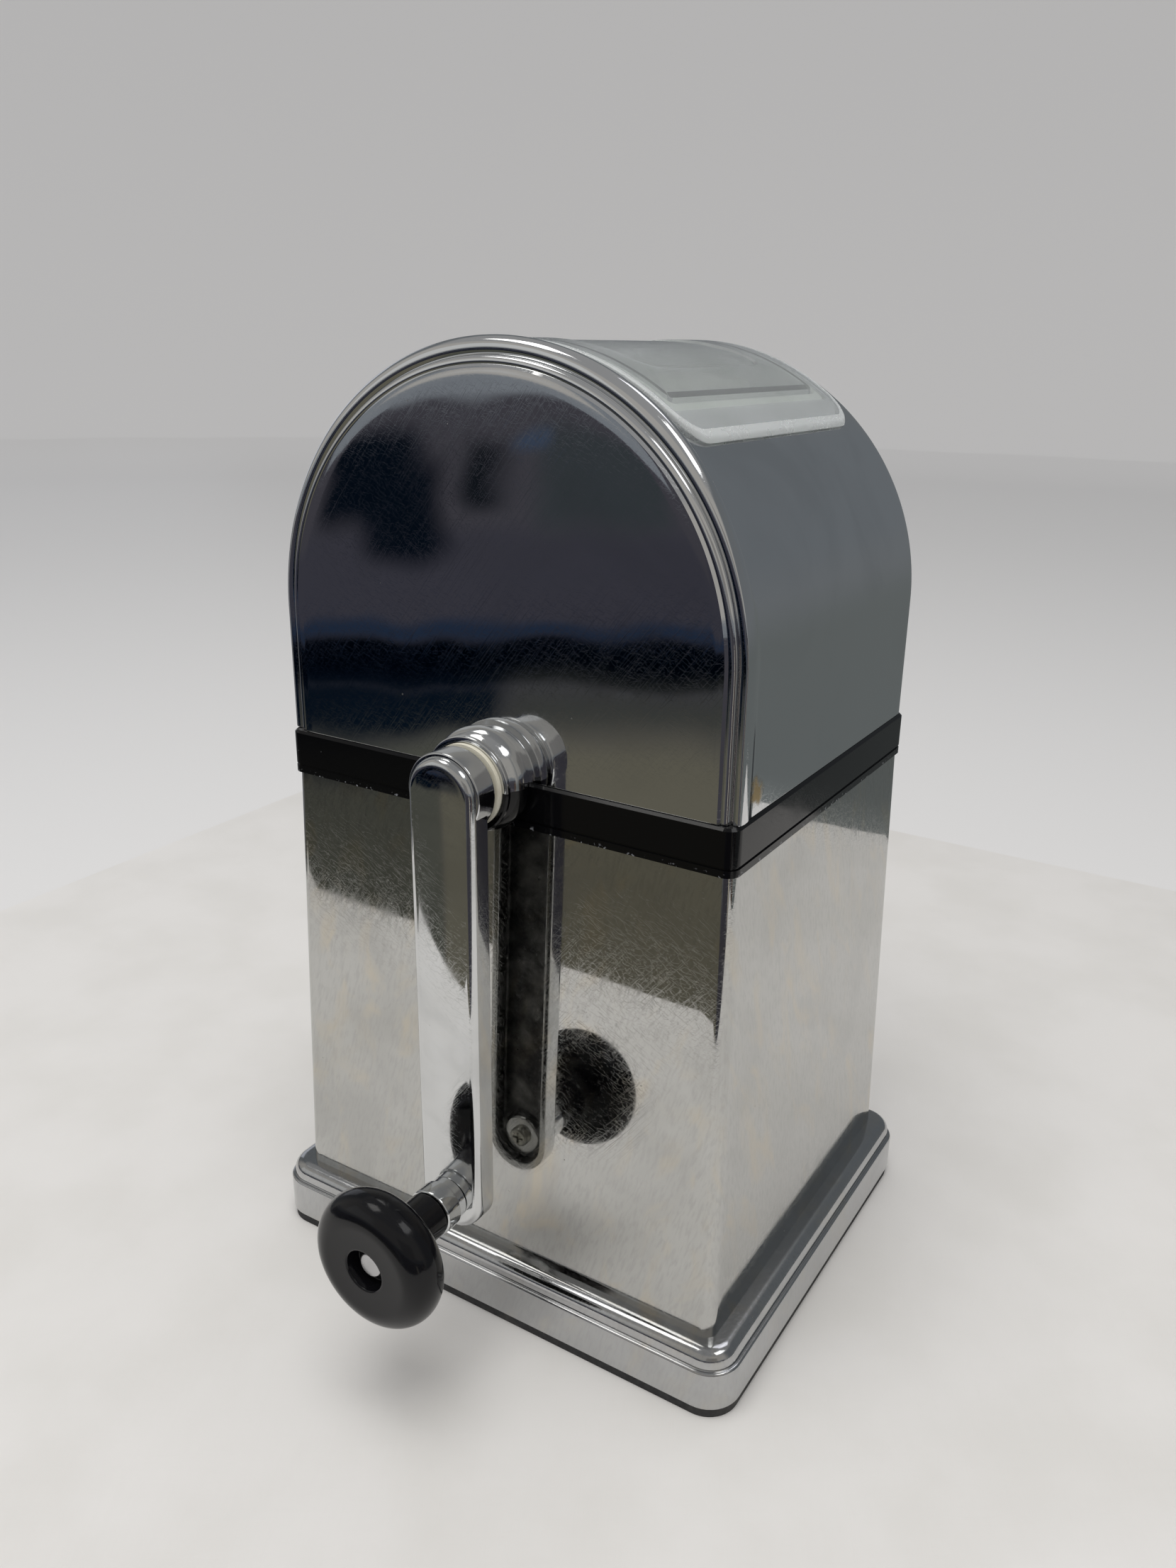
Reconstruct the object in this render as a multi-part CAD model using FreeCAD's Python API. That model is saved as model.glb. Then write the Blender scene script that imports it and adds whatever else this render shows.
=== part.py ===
import FreeCAD, Part

import math
import os

# Hand crank ice crusher. Millimetres, +Z up, +Y to the back, the crank in front at -Y.
# The origin lies on the resting surface, under the middle of the body.

# Base: a non-slip pad under a two-step rounded moulding
pad_height = 2.7
pad_inset = 0.6
base_length = 149.0
base_depth = 126.2
base_corner = 9.0
base_step_height = 11.2
base_step_round = 0.9
bead_inset = 1.1
bead_height = 4.8
bead_round = 3.6
base_wall = 2.4
base_rib = 2.0
base_rib_spacing = 50.0

# Lower body: a tapered sheet-metal tube
body_length_low = 134.4
body_depth_low = 113.6
body_length_top = 129.4
body_depth_top = 107.8
body_height = 123.2
body_corner = 3.2
body_sheet = 1.0
body_flange = 9.0

# Ice bin inside the lower body
bin_length_low = 106.0
bin_depth_low = 86.0
bin_length_top = 118.0
bin_depth_top = 96.0
bin_height = 103.0
bin_corner = 9.0
bin_wall = 1.6
bin_rim = 1.6
bin_rim_height = 3.0

# Black band, the frame of the crushing head
band_length = 130.6
band_depth = 109.6
band_corner = 3.2
band_height = 11.5
band_wall = 2.5
band_top_chamfer = 0.6
band_groove_height = 1.7
band_groove_width = 0.7
band_groove_depth = 0.4
deck_thickness = 2.5
skirt_drop = 6.0
skirt_wall = 2.0
skirt_corner = 2.6
seat_gap = 0.1
skirt_clearance = 0.5

# Crushing chamber and its chute, inside the band
chamber_length = 64.0
chamber_depth = 84.0
chute_drop = 23.5
chute_wall = 2.5
comb_ledge = 12.0
comb_below_axis = 1.5

# Chrome dome over the band
dome_length = 129.2
dome_depth = 108.0
dome_straight = 32.3
dome_wall = 2.0
dome_back_round = 3.0
moulding_width = 4.5
groove_back = 0.8
groove_out = 0.6
bead_crown_back = 1.0
bead_crown_out = 2.0
roll_back = 4.3
roll_radius = 2.6
roll_proud = 2.0
roll_start_angle = 215.0

# Shaft collar on the front, half in the dome and half in the band
collar_neck_radius = 11.4
collar_ridge_radius = 12.8
collar_groove_radius = 11.0
collar_lip_radius = 11.8
collar_neck_reach = 1.8
collar_ridge_reach = 2.6
collar_bulge_start = 3.2
collar_bulge_crown = 5.4
collar_bulge_end = 7.4
collar_lip_start = 8.3
collar_reach = 9.5
collar_edge_round = 0.4

# Hopper opening in the top of the dome
opening_angle = 52.5
opening_depth = 83.6
hopper_wall = 2.0
hopper_clearance = 0.3
hopper_foot = 2.0
funnel_overrun = 1.5

# Clear lid
lid_gap = 0.3
lid_length = 93.2
lid_depth = 91.0
lid_corner = 8.0
lid_thickness = 1.2
lid_wall = 1.6
panel_length = 54.0
panel_depth = 61.0
panel_corner = 7.0
panel_sink = 0.4
lid_lip_clearance = 0.5
lid_lip_depth = 6.0

# Shaft, its bushes and clip
shaft_radius = 5.0
shaft_square = 7.0
rear_journal_radius = 3.5
running_clearance = 0.05
bush_radius = 10.15
bush_clearance = 0.25
bush_proud = 1.1
bush_flange_radius = 13.0
bush_flange = 2.5
bush_gap = 0.1
rear_bush_radius = 7.0
rear_bush_clearance = 0.05
rear_bearing_length = 4.0
bearing_block_length = 28.0
bearing_cap_height = 9.5
clip_radius = 8.0
clip_thickness = 1.2
clip_opening = 5.0
clip_gap = 0.2
square_fit = 0.02
slot_clearance = 1.6

# Breaker blades, spacers and combs
blade_count = 5
blade_arms = 3
blade_turn = 90.0
blade_pitch = 15.0
blade_thickness = 3.2
blade_reach = 25.0
blade_hub_radius = 9.0
blade_root_width = 10.0
blade_tip_width = 4.0
blade_tip_slant = 3.0
blade_shoulder = 17.0
spacer_radius = 8.0
end_clearance = 0.5
comb_thickness = 3.0
fine_tip = 9.8
coarse_tip = 17.0
fine_side_gap = 0.9
coarse_side_gap = 2.2
comb_root_gap = 1.5
comb_end_gap = 0.3

# Crank arm
crank_throw = 108.6
arm_width = 18.6
arm_depth = 6.9
arm_front_round = 2.2
arm_wall = 1.9
arm_web = 2.3
arm_to_collar = 4.2
hub_radius = 10.2
hub_round = 1.6
hub_gap = 0.4
tenon_depth = 5.6

# Knob, its pin and ferrule
knob_radius = 17.85
knob_edge_round = 6.0
knob_neck_radius = 6.0
knob_neck_length = 12.4
knob_flare = 1.6
recess_radius = 5.3
recess_depth = 4.6
pin_radius = 2.4
pin_head_radius = 3.3
pin_head_height = 2.0
pin_clearance = 0.06
pin_end_gap = 0.1
pin_seat_depth = 1.5
ferrule_radius = 6.3
ferrule_shoulder_radius = 5.7
ferrule_length = 7.8
ferrule_shoulder = 2.8
ferrule_round = 0.6
knob_end_gap = 0.2
pin_boss_radius = 5.6
pin_boss_height = 2.2

# Screws
screw_radius = 1.5
screw_head_radius = 2.8
screw_head_height = 1.8
screw_slot = 0.7
screw_slot_depth = 0.9
screw_slot_share = 0.6
screw_clearance = 0.3
screw_fit = 0.05
screw_post_radius = 4.0
base_screw_inset = 8.6
base_screw_length = 11.0
dome_screw_inset = 4.7
dome_screw_grip = 8.0
dome_post_height = 14.0
comb_screw_length = 8.0
comb_screw_spacing = 60.0
hopper_screw_spacing = 44.0
hopper_post_radius = 2.8
hopper_screw_length = 9.0
cap_screw_spacing = 21.0
cap_screw_length = 15.0
cap_screw_radius = 1.1
cap_screw_head_radius = 1.9

# Heights and planes that follow from the sizes above
moulding_low = pad_height
step_top = moulding_low + base_step_height
deck_top = step_top + bead_height
body_top = deck_top + body_height
band_low = body_top + seat_gap
band_top = band_low + band_height
axis_z = band_top
arch_z = band_top + dome_straight
dome_radius = dome_length / 2
dome_front = -dome_depth / 2
dome_back = dome_depth / 2
comb_low = axis_z - comb_below_axis
comb_top = comb_low + comb_thickness
hopper_low = comb_top + seat_gap
chamber_half = chamber_depth / 2
chute_outer = chamber_half + chute_wall
collar_front = dome_front - collar_reach
bush_front = collar_front - bush_proud
hub_back = bush_front - hub_gap
arm_back = collar_front - arm_to_collar
arm_front = arm_back - arm_depth
web_back = arm_front + arm_web
knob_z = axis_z - crank_throw
ferrule_front = arm_front - ferrule_length
knob_back = ferrule_front - knob_end_gap
disc_back = knob_back - knob_neck_length
knob_front = disc_back - 2 * knob_edge_round
bush_inner = dome_front + dome_wall + bush_gap
bush_back = bush_inner + bush_flange
clip_front = bush_back + clip_gap
spacer_front = -chamber_half + end_clearance
spacer_back = chamber_half - end_clearance
rear_bearing_back = dome_back - dome_wall - bush_gap
rear_bearing_front = rear_bearing_back - rear_bearing_length
rear_bearing_middle = (rear_bearing_front + rear_bearing_back) / 2
base_screw_x = body_length_low / 2 - base_screw_inset
base_screw_y = body_depth_low / 2 - base_screw_inset
skirt_inner = body_sheet + skirt_clearance + skirt_wall
dome_screw_x = body_length_top / 2 - skirt_inner - dome_screw_inset
dome_screw_y = body_depth_top / 2 - skirt_inner - dome_screw_inset
hopper_post_y = dome_depth / 2 - dome_wall - hopper_clearance - hopper_post_radius
comb_screw_x = chamber_length / 2 + comb_ledge / 2
everywhere = 2 * (arch_z + dome_length)


def vec(x, y, z):
    return FreeCAD.Vector(x, y, z)


def box(x_low, x_high, y_low, y_high, z_low, z_high):
    corner = vec(x_low, y_low, z_low)
    return Part.makeBox(x_high - x_low, y_high - y_low, z_high - z_low, corner)


def post(x, y, radius, z_low, z_high):
    return Part.makeCylinder(radius, z_high - z_low, vec(x, y, z_low))


def rod(radius, y_low, y_high, z):
    """Round bar along Y over x = 0."""
    return Part.makeCylinder(radius, y_high - y_low, vec(0, y_low, z), vec(0, 1, 0))


def joined(first, *others):
    return first.fuse(list(others)).removeSplitter()


def rounded_wire(half_x, half_y, corner, z):
    turn = corner * (1 - math.sqrt(0.5))
    edges = []
    for start, middle, end, leave in (
        ((half_x - corner, -half_y), (half_x - turn, turn - half_y), (half_x, corner - half_y),
         (half_x, half_y - corner)),
        ((half_x, half_y - corner), (half_x - turn, half_y - turn), (half_x - corner, half_y),
         (corner - half_x, half_y)),
        ((corner - half_x, half_y), (turn - half_x, half_y - turn), (-half_x, half_y - corner),
         (-half_x, corner - half_y)),
        ((-half_x, corner - half_y), (turn - half_x, turn - half_y), (corner - half_x, -half_y),
         (half_x - corner, -half_y)),
    ):
        edges.append(Part.Arc(vec(*start, z), vec(*middle, z), vec(*end, z)).toShape())
        edges.append(Part.makeLine(vec(*end, z), vec(*leave, z)))
    return Part.Wire(edges)


def slab(half_x, half_y, corner, z_low, z_high):
    face = Part.Face(rounded_wire(half_x, half_y, corner, z_low))
    return face.extrude(vec(0, 0, z_high - z_low))


def tapered(low, top, corner_low, corner_top, z_low, z_top):
    """Solid between two rounded rectangles, each given as its half length and half depth."""
    wires = [rounded_wire(*low, corner_low, z_low), rounded_wire(*top, corner_top, z_top)]
    return Part.makeLoft(wires, True, True)


def level_edges(solid, z):
    return [e for e in solid.Edges if abs(e.BoundBox.ZMin - z) + abs(e.BoundBox.ZMax - z) < 0.001]


def facing_edges(solid, y):
    return [e for e in solid.Edges if abs(e.BoundBox.YMin - y) + abs(e.BoundBox.YMax - y) < 0.001]


def outline(points, place):
    """Closed wire through points. A pair of points is an arc: its middle, then its end."""
    edges = []
    here = points[0]
    for step in points[1:] + points[:1]:
        if isinstance(step[0], tuple):
            middle, end = step
            edges.append(Part.Arc(place(here), place(middle), place(end)).toShape())
        else:
            end = step
            edges.append(Part.makeLine(place(here), place(end)))
        here = end
    return Part.Wire(edges)


def turned(points, z, angle=360, upward=True):
    """Body of revolution about the Y line at height z, from points (y, radius)."""
    wire = outline(points, lambda p: vec(p[1], p[0], z))
    axis = vec(0, -1 if upward else 1, 0)
    return Part.Face(wire).revolve(vec(0, 0, z), axis, angle)


def write(name, shape):
    shape.exportStep("parts/" + name + ".step")


def screw(x, y, z, length, radius=screw_radius, head_radius=screw_head_radius):
    """Pan-head screw with a cross slot. z is the seat under its head."""
    head = post(0, 0, head_radius, 0, screw_head_height)
    head = head.makeFillet(screw_head_height / 2, level_edges(head, screw_head_height))
    slot_low = screw_head_height - screw_slot_depth
    half_slot = screw_slot / 2
    half_length = head_radius * screw_slot_share
    along = box(-half_length, half_length, -half_slot, half_slot, slot_low, screw_head_height)
    across = box(-half_slot, half_slot, -half_length, half_length, slot_low, screw_head_height)
    solid = joined(head, post(0, 0, radius, -length, 0)).cut([along, across])
    solid.translate(vec(x, y, z))
    return solid


def four(half_x, half_y):
    return [(half_x, half_y), (-half_x, half_y), (half_x, -half_y), (-half_x, -half_y)]


def square_bar(side, y_low, y_high):
    return box(-side / 2, side / 2, y_low, y_high, axis_z - side / 2, axis_z + side / 2)


# Base
def base_pad():
    half_x = base_length / 2 - pad_inset
    half_y = base_depth / 2 - pad_inset
    return slab(half_x, half_y, base_corner - pad_inset, 0, pad_height)


def base_moulding():
    length = base_length / 2
    depth = base_depth / 2
    step = slab(length, depth, base_corner, moulding_low, step_top)
    step = step.makeFillet(base_step_round, level_edges(step, step_top))
    bead = slab(length - bead_inset, depth - bead_inset, base_corner - bead_inset,
                step_top - base_wall, deck_top)
    bead = bead.makeFillet(bead_round, level_edges(bead, deck_top))
    inner_x = length - bead_inset - base_wall
    inner_y = depth - bead_inset - base_wall
    inner_corner = base_corner - bead_inset - base_wall
    hollow_top = deck_top - base_wall
    hollow = slab(inner_x, inner_y, inner_corner, moulding_low, hollow_top)
    shell = joined(step, bead).cut(hollow)
    half_rib = base_rib / 2
    ribs = [box(-inner_x, inner_x, -half_rib, half_rib, moulding_low, hollow_top)]
    for x in (-base_rib_spacing / 2, base_rib_spacing / 2):
        ribs.append(box(x - half_rib, x + half_rib, -inner_y, inner_y, moulding_low, hollow_top))
    corners = four(base_screw_x, base_screw_y)
    posts = [post(x, y, screw_post_radius, moulding_low, hollow_top) for x, y in corners]
    shell = joined(shell, *ribs, *posts)
    hole_low = deck_top - base_screw_length
    return shell.cut([post(x, y, screw_radius + screw_fit, hole_low, deck_top) for x, y in corners])


def body_half(height, inset=0.0):
    """Half length and half depth of the lower body at a height over its foot."""
    share = height / body_height
    half_x = body_length_low / 2 + (body_length_top - body_length_low) / 2 * share
    half_y = body_depth_low / 2 + (body_depth_top - body_depth_low) / 2 * share
    return half_x - inset, half_y - inset


def lower_body():
    outer = tapered(body_half(0), body_half(body_height), body_corner, body_corner, deck_top, body_top)
    inner_corner = body_corner - body_sheet
    inner = tapered(body_half(0, body_sheet), body_half(body_height, body_sheet),
                    inner_corner, inner_corner, deck_top, body_top)
    tube = outer.cut(inner)
    flange_top = deck_top + body_sheet
    flange = slab(*body_half(0, body_sheet / 2), inner_corner, deck_top, flange_top)
    flange = flange.cut(slab(*body_half(0, body_sheet + body_flange), body_corner, deck_top, flange_top))
    corners = four(base_screw_x, base_screw_y)
    holes = [post(x, y, screw_radius + screw_clearance, deck_top, flange_top) for x, y in corners]
    return joined(tube, flange).cut(holes)


def body_screws():
    seat = deck_top + body_sheet
    return Part.makeCompound([screw(x, y, seat, base_screw_length - body_sheet - screw_clearance)
                              for x, y in four(base_screw_x, base_screw_y)])


# Ice bin
def ice_bin():
    low = deck_top + seat_gap
    top = low + bin_height
    half_low = (bin_length_low / 2, bin_depth_low / 2)
    half_top = (bin_length_top / 2, bin_depth_top / 2)
    inner_low = (half_low[0] - bin_wall, half_low[1] - bin_wall)
    inner_top = (half_top[0] - bin_wall, half_top[1] - bin_wall)
    inner_corner = bin_corner - bin_wall
    outer = tapered(half_low, half_top, bin_corner, bin_corner, low, top)
    rim = slab(half_top[0] + bin_rim, half_top[1] + bin_rim, bin_corner + bin_rim, top - bin_rim_height, top)
    inner = tapered(inner_low, inner_top, inner_corner, inner_corner, low, top)
    floor = tapered(half_low, half_top, bin_corner, bin_corner, low, top)
    floor = floor.common(box(-everywhere, everywhere, -everywhere, everywhere, low, low + bin_wall))
    return joined(joined(outer, rim).cut(inner), floor)


# Crushing head
def collar(upward):
    """Half of the stepped shaft collar: the part over or under the parting line."""
    root = dome_front + dome_wall / 2
    points = [
        (root, bush_radius),
        (root, collar_neck_radius),
        (dome_front - collar_neck_reach, collar_neck_radius),
        (dome_front - collar_ridge_reach, collar_ridge_radius),
        (dome_front - collar_bulge_start, collar_ridge_radius),
        ((dome_front - collar_bulge_crown, collar_ridge_radius - collar_edge_round / 2),
         (dome_front - collar_bulge_end, collar_neck_radius)),
        (dome_front - collar_lip_start + collar_edge_round, collar_groove_radius),
        (dome_front - collar_lip_start, collar_lip_radius),
        (collar_front + collar_edge_round, collar_lip_radius),
        (collar_front, collar_lip_radius - collar_edge_round),
        (collar_front, bush_radius),
    ]
    return turned(points, axis_z, 180, upward)


def band_frame():
    half_x = band_length / 2
    half_y = band_depth / 2
    ring = slab(half_x, half_y, band_corner, band_low, band_top)
    ring = ring.makeChamfer(band_top_chamfer, level_edges(ring, band_top))
    groove_low = band_low + band_groove_height
    groove_top = groove_low + band_groove_width
    groove = slab(half_x, half_y, band_corner, groove_low, groove_top)
    groove = groove.cut(slab(half_x - band_groove_depth, half_y - band_groove_depth,
                             band_corner - band_groove_depth, groove_low, groove_top))
    hollow = slab(half_x - band_wall, half_y - band_wall, band_corner - band_wall,
                  band_low + deck_thickness, band_top)
    ring = ring.cut([groove, hollow])

    skirt_x, skirt_y = body_half(body_height, body_sheet + skirt_clearance)
    skirt = slab(skirt_x, skirt_y, skirt_corner, band_low - skirt_drop, band_low)
    skirt = skirt.cut(slab(skirt_x - skirt_wall, skirt_y - skirt_wall, skirt_corner - skirt_wall,
                           band_low - skirt_drop, band_low))

    inner_x = chamber_length / 2
    chute_low = axis_z - chute_drop
    wall_x = inner_x + chute_wall
    sides = box(-wall_x, wall_x, -chute_outer, chute_outer, chute_low, comb_low)
    ends = box(-wall_x, wall_x, -chute_outer, chute_outer, comb_low, comb_top)
    ends = ends.cut(box(-everywhere, everywhere, -chamber_half, chamber_half, comb_low, comb_top))
    ledge_x = inner_x + comb_ledge
    ledges = box(-ledge_x, ledge_x, -chamber_half, chamber_half, band_low, comb_low)
    posts = [post(x, y, hopper_post_radius, band_low, comb_top)
             for x, y in four(hopper_screw_spacing / 2, hopper_post_y)]
    posts += [post(x, y, screw_post_radius, band_low, band_top) for x, y in four(dome_screw_x, dome_screw_y)]
    block = box(-bearing_block_length / 2, bearing_block_length / 2, rear_bearing_front,
                half_y - band_wall / 2, band_low, band_top)
    frame = joined(ring, skirt, sides, ends, ledges, block, *posts, collar(False))

    slot_radius = shaft_radius + slot_clearance
    front_slot = joined(rod(slot_radius, -chute_outer, -chamber_half, axis_z),
                        box(-slot_radius, slot_radius, -chute_outer, -chamber_half, axis_z, comb_top))
    back_slot = joined(rod(slot_radius, chamber_half, chute_outer, axis_z),
                       box(-slot_radius, slot_radius, chamber_half, chute_outer, axis_z, comb_top))
    cuts = [
        box(-inner_x, inner_x, -chamber_half, chamber_half, chute_low, comb_top),
        front_slot,
        back_slot,
        rod(bush_radius + bush_clearance, collar_front, bush_back, axis_z),
        rod(bush_flange_radius + bush_clearance, bush_inner - bush_gap, -chute_outer, axis_z),
        rod(rear_bush_radius + rear_bush_clearance, rear_bearing_front, rear_bearing_back + bush_gap, axis_z),
    ]
    for x, y in four(dome_screw_x, dome_screw_y):
        cuts.append(post(x, y, screw_radius + screw_clearance, band_low, band_top))
    for x, y in four(hopper_screw_spacing / 2, hopper_post_y):
        cuts.append(post(x, y, screw_radius + screw_fit, comb_top - hopper_screw_length, comb_top))
    for x, y in four(comb_screw_x, comb_screw_spacing / 2):
        cuts.append(post(x, y, screw_radius + screw_fit, comb_low - comb_screw_length, comb_low))
    for x in (-cap_screw_spacing / 2, cap_screw_spacing / 2):
        cuts.append(post(x, rear_bearing_middle, cap_screw_radius + screw_fit,
                         band_top + bearing_cap_height - cap_screw_length, band_top))
    return frame.cut(cuts)


def dome_section():
    """Right half of the dome's section, as (y, distance from the arch's axis)."""
    radius = dome_radius
    edge = radius - moulding_width
    roll_y = dome_front + roll_back
    roll_s = radius + roll_proud - roll_radius
    start = math.radians(roll_start_angle)
    end = math.asin((radius - roll_s) / roll_radius)
    middle = (start + end) / 2
    roll_start = (roll_y + roll_radius * math.cos(start), roll_s + roll_radius * math.sin(start))
    roll_middle = (roll_y + roll_radius * math.cos(middle), roll_s + roll_radius * math.sin(middle))
    roll_end = (roll_y + roll_radius * math.cos(end), radius)
    corner = dome_back_round * (1 - math.sqrt(0.5))
    return [
        (dome_front, 0.0),
        (dome_front, edge),
        (dome_front + groove_back, edge + groove_out),
        ((dome_front + bead_crown_back, edge + bead_crown_out), roll_start),
        (roll_middle, roll_end),
        (dome_back - dome_back_round, radius),
        ((dome_back - corner, radius - corner), (dome_back, radius - dome_back_round)),
        (dome_back, 0.0),
    ]


def hollow_section():
    """Right half of the space inside the dome, cut across behind the front moulding."""
    front = dome_front + dome_wall
    back = dome_back - dome_wall
    side = dome_radius - dome_wall
    return [
        (front, 0.0),
        (front, dome_radius - moulding_width - dome_wall),
        (dome_front + roll_back, side),
        (back, side),
        (back, 0.0),
    ]


def arch(points, z_low):
    """Half-round arch over two straight sides, from one half section."""
    half = Part.Face(outline(points, lambda p: vec(p[1], p[0], z_low)))
    right = half.extrude(vec(0, 0, arch_z - z_low))
    left = right.mirror(vec(0, 0, 0), vec(1, 0, 0))
    return joined(turned(points, arch_z, 180), right, left)


def hopper_mouth():
    """Half length and half depth of the dome's opening, and the height of its long edges."""
    angle = math.radians(opening_angle)
    return dome_radius * math.cos(angle), opening_depth / 2, arch_z + dome_radius * math.sin(angle)


def funnel(inset):
    """Tapered block from the chamber to above the dome, inset from the dome's opening."""
    mouth_x, mouth_y, mouth_z = hopper_mouth()
    low_x = chamber_length / 2 + hopper_wall
    low_y = chamber_depth / 2 + hopper_wall
    top = arch_z + dome_radius + funnel_overrun
    share = (top - hopper_low) / (mouth_z - hopper_low)
    top_x = low_x + (mouth_x - hopper_clearance - low_x) * share
    top_y = low_y + (mouth_y - hopper_clearance - low_y) * share
    corner = hopper_wall + hopper_clearance
    half_low = (low_x - inset, low_y - inset)
    half_top = (top_x - inset, top_y - inset)
    return tapered(half_low, half_top, corner, corner, hopper_low, top)


def dome_shell():
    shell = arch(dome_section(), band_top).cut(arch(hollow_section(), band_top))
    shell = shell.cut(funnel(-hopper_clearance))
    posts = []
    for x, y in four(dome_screw_x, dome_screw_y):
        wall_x = math.copysign(dome_radius - dome_wall / 2, x)
        rib = box(min(x, wall_x), max(x, wall_x), y - dome_wall / 2, y + dome_wall / 2,
                  band_top, band_top + dome_post_height)
        posts += [post(x, y, screw_post_radius, band_top, band_top + dome_post_height), rib]
    shell = joined(shell, *posts, collar(True))
    cuts = [rod(bush_radius + bush_clearance, collar_front, bush_inner, axis_z)]
    cuts += [post(x, y, screw_radius + screw_fit, band_top, band_top + dome_screw_grip + screw_clearance)
             for x, y in four(dome_screw_x, dome_screw_y)]
    return shell.cut(cuts)


def dome_screws():
    length = band_height + dome_screw_grip
    screws = Part.makeCompound([screw(x, y, 0, length) for x, y in four(dome_screw_x, dome_screw_y)])
    screws.rotate(vec(0, 0, 0), vec(1, 0, 0), 180)
    screws.translate(vec(0, 0, band_low))
    return screws


def hopper_insert():
    skin = dome_radius - hopper_clearance
    under_skin = joined(rod(skin, dome_front, dome_back, arch_z),
                        box(-skin, skin, dome_front, dome_back, hopper_low, arch_z))
    walls = funnel(0).common(under_skin).cut(funnel(hopper_wall))
    half_foot = hopper_post_radius
    feet = []
    for x, y in four(hopper_screw_spacing / 2, hopper_post_y):
        inner = math.copysign(chamber_half + hopper_wall / 2, y)
        outer = math.copysign(hopper_post_y + half_foot, y)
        feet.append(box(x - half_foot, x + half_foot, min(inner, outer), max(inner, outer),
                        hopper_low, hopper_low + hopper_foot))
    walls = joined(walls, *feet)
    slot_radius = shaft_radius + slot_clearance
    cuts = [rod(slot_radius, dome_front, dome_back, axis_z),
            box(-slot_radius, slot_radius, dome_front, dome_back, axis_z, hopper_low)]
    cuts += [post(x, y, screw_radius + screw_clearance, hopper_low, hopper_low + hopper_foot)
             for x, y in four(hopper_screw_spacing / 2, hopper_post_y)]
    return walls.cut(cuts)


def hopper_screws():
    seat = hopper_low + hopper_foot
    length = hopper_screw_length + hopper_foot - screw_clearance
    return Part.makeCompound([screw(x, y, seat, length)
                              for x, y in four(hopper_screw_spacing / 2, hopper_post_y)])


def blade_places():
    first = -(blade_count - 1) * blade_pitch / 2
    return [first + blade_pitch * index for index in range(blade_count)]


def comb(side, tip, side_gap):
    """Fixed comb on one side of the shaft, with a slot for each blade."""
    back = chamber_length / 2 + comb_ledge
    half_depth = chamber_half - comb_end_gap
    plate = box(min(side * tip, side * back), max(side * tip, side * back), -half_depth, half_depth,
                comb_low, comb_top)
    half_slot = blade_thickness / 2 + side_gap
    root = side * (blade_reach + comb_root_gap)
    cuts = [box(min(0, root), max(0, root), y - half_slot, y + half_slot, comb_low, comb_top)
            for y in blade_places()]
    cuts += [post(side * comb_screw_x, y, screw_radius + screw_clearance, comb_low, comb_top)
             for y in (-comb_screw_spacing / 2, comb_screw_spacing / 2)]
    return plate.cut(cuts)


def comb_screws():
    length = comb_thickness + comb_screw_length - screw_clearance
    return Part.makeCompound([screw(x, y, comb_top, length)
                              for x, y in four(comb_screw_x, comb_screw_spacing / 2)])


def front_bush():
    sleeve = rod(bush_radius, bush_front, bush_inner, axis_z)
    flange = rod(bush_flange_radius, bush_inner, bush_back, axis_z)
    return joined(sleeve, flange).cut(rod(shaft_radius + running_clearance, bush_front, bush_back, axis_z))


def rear_bush():
    sleeve = rod(rear_bush_radius, rear_bearing_front, rear_bearing_back, axis_z)
    bore = rod(rear_journal_radius + running_clearance, rear_bearing_front, rear_bearing_back, axis_z)
    return sleeve.cut(bore)


def bearing_cap():
    half = bearing_block_length / 2
    cap = box(-half, half, rear_bearing_front, rear_bearing_back, band_top, band_top + bearing_cap_height)
    bore = rod(rear_bush_radius + rear_bush_clearance, rear_bearing_front, rear_bearing_back, axis_z)
    holes = [post(x, rear_bearing_middle, cap_screw_radius + screw_clearance, band_top,
                  band_top + bearing_cap_height)
             for x in (-cap_screw_spacing / 2, cap_screw_spacing / 2)]
    return cap.cut([bore] + holes)


def bearing_cap_screws():
    seat = band_top + bearing_cap_height
    length = cap_screw_length - screw_clearance
    screws = []
    for x in (-cap_screw_spacing / 2, cap_screw_spacing / 2):
        screws.append(screw(x, rear_bearing_middle, seat, length, cap_screw_radius, cap_screw_head_radius))
    return Part.makeCompound(screws)


# Lid
def arched_slab(half_x, half_y, corner, radius_low, radius_top):
    """Piece of a shell round the arch's axis, with a rounded rectangle as its plan."""
    block = slab(half_x, half_y, corner, arch_z, arch_z + radius_top)
    shell = rod(radius_top, -half_y, half_y, arch_z).cut(rod(radius_low, -half_y, half_y, arch_z))
    return block.common(shell)


def lid():
    seat = dome_radius + lid_gap
    top = seat + lid_thickness
    plate = arched_slab(lid_length / 2, lid_depth / 2, lid_corner, seat, top)
    panel = arched_slab(panel_length / 2, panel_depth / 2, panel_corner, top - panel_sink, top)
    mouth_x, mouth_y, mouth_z = hopper_mouth()
    lip_x = mouth_x - hopper_clearance - hopper_wall - lid_lip_clearance
    lip_y = mouth_y - hopper_clearance - hopper_wall - lid_lip_clearance
    lip_corner = hopper_wall
    lip_low = dome_radius - lid_lip_depth
    lip_top = seat + lid_thickness / 2
    lip = arched_slab(lip_x, lip_y, lip_corner, lip_low, lip_top)
    lip = lip.cut(slab(lip_x - lid_wall, lip_y - lid_wall, lip_corner - lid_wall, arch_z, arch_z + lip_top))
    return joined(plate.cut(panel), lip)


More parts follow.
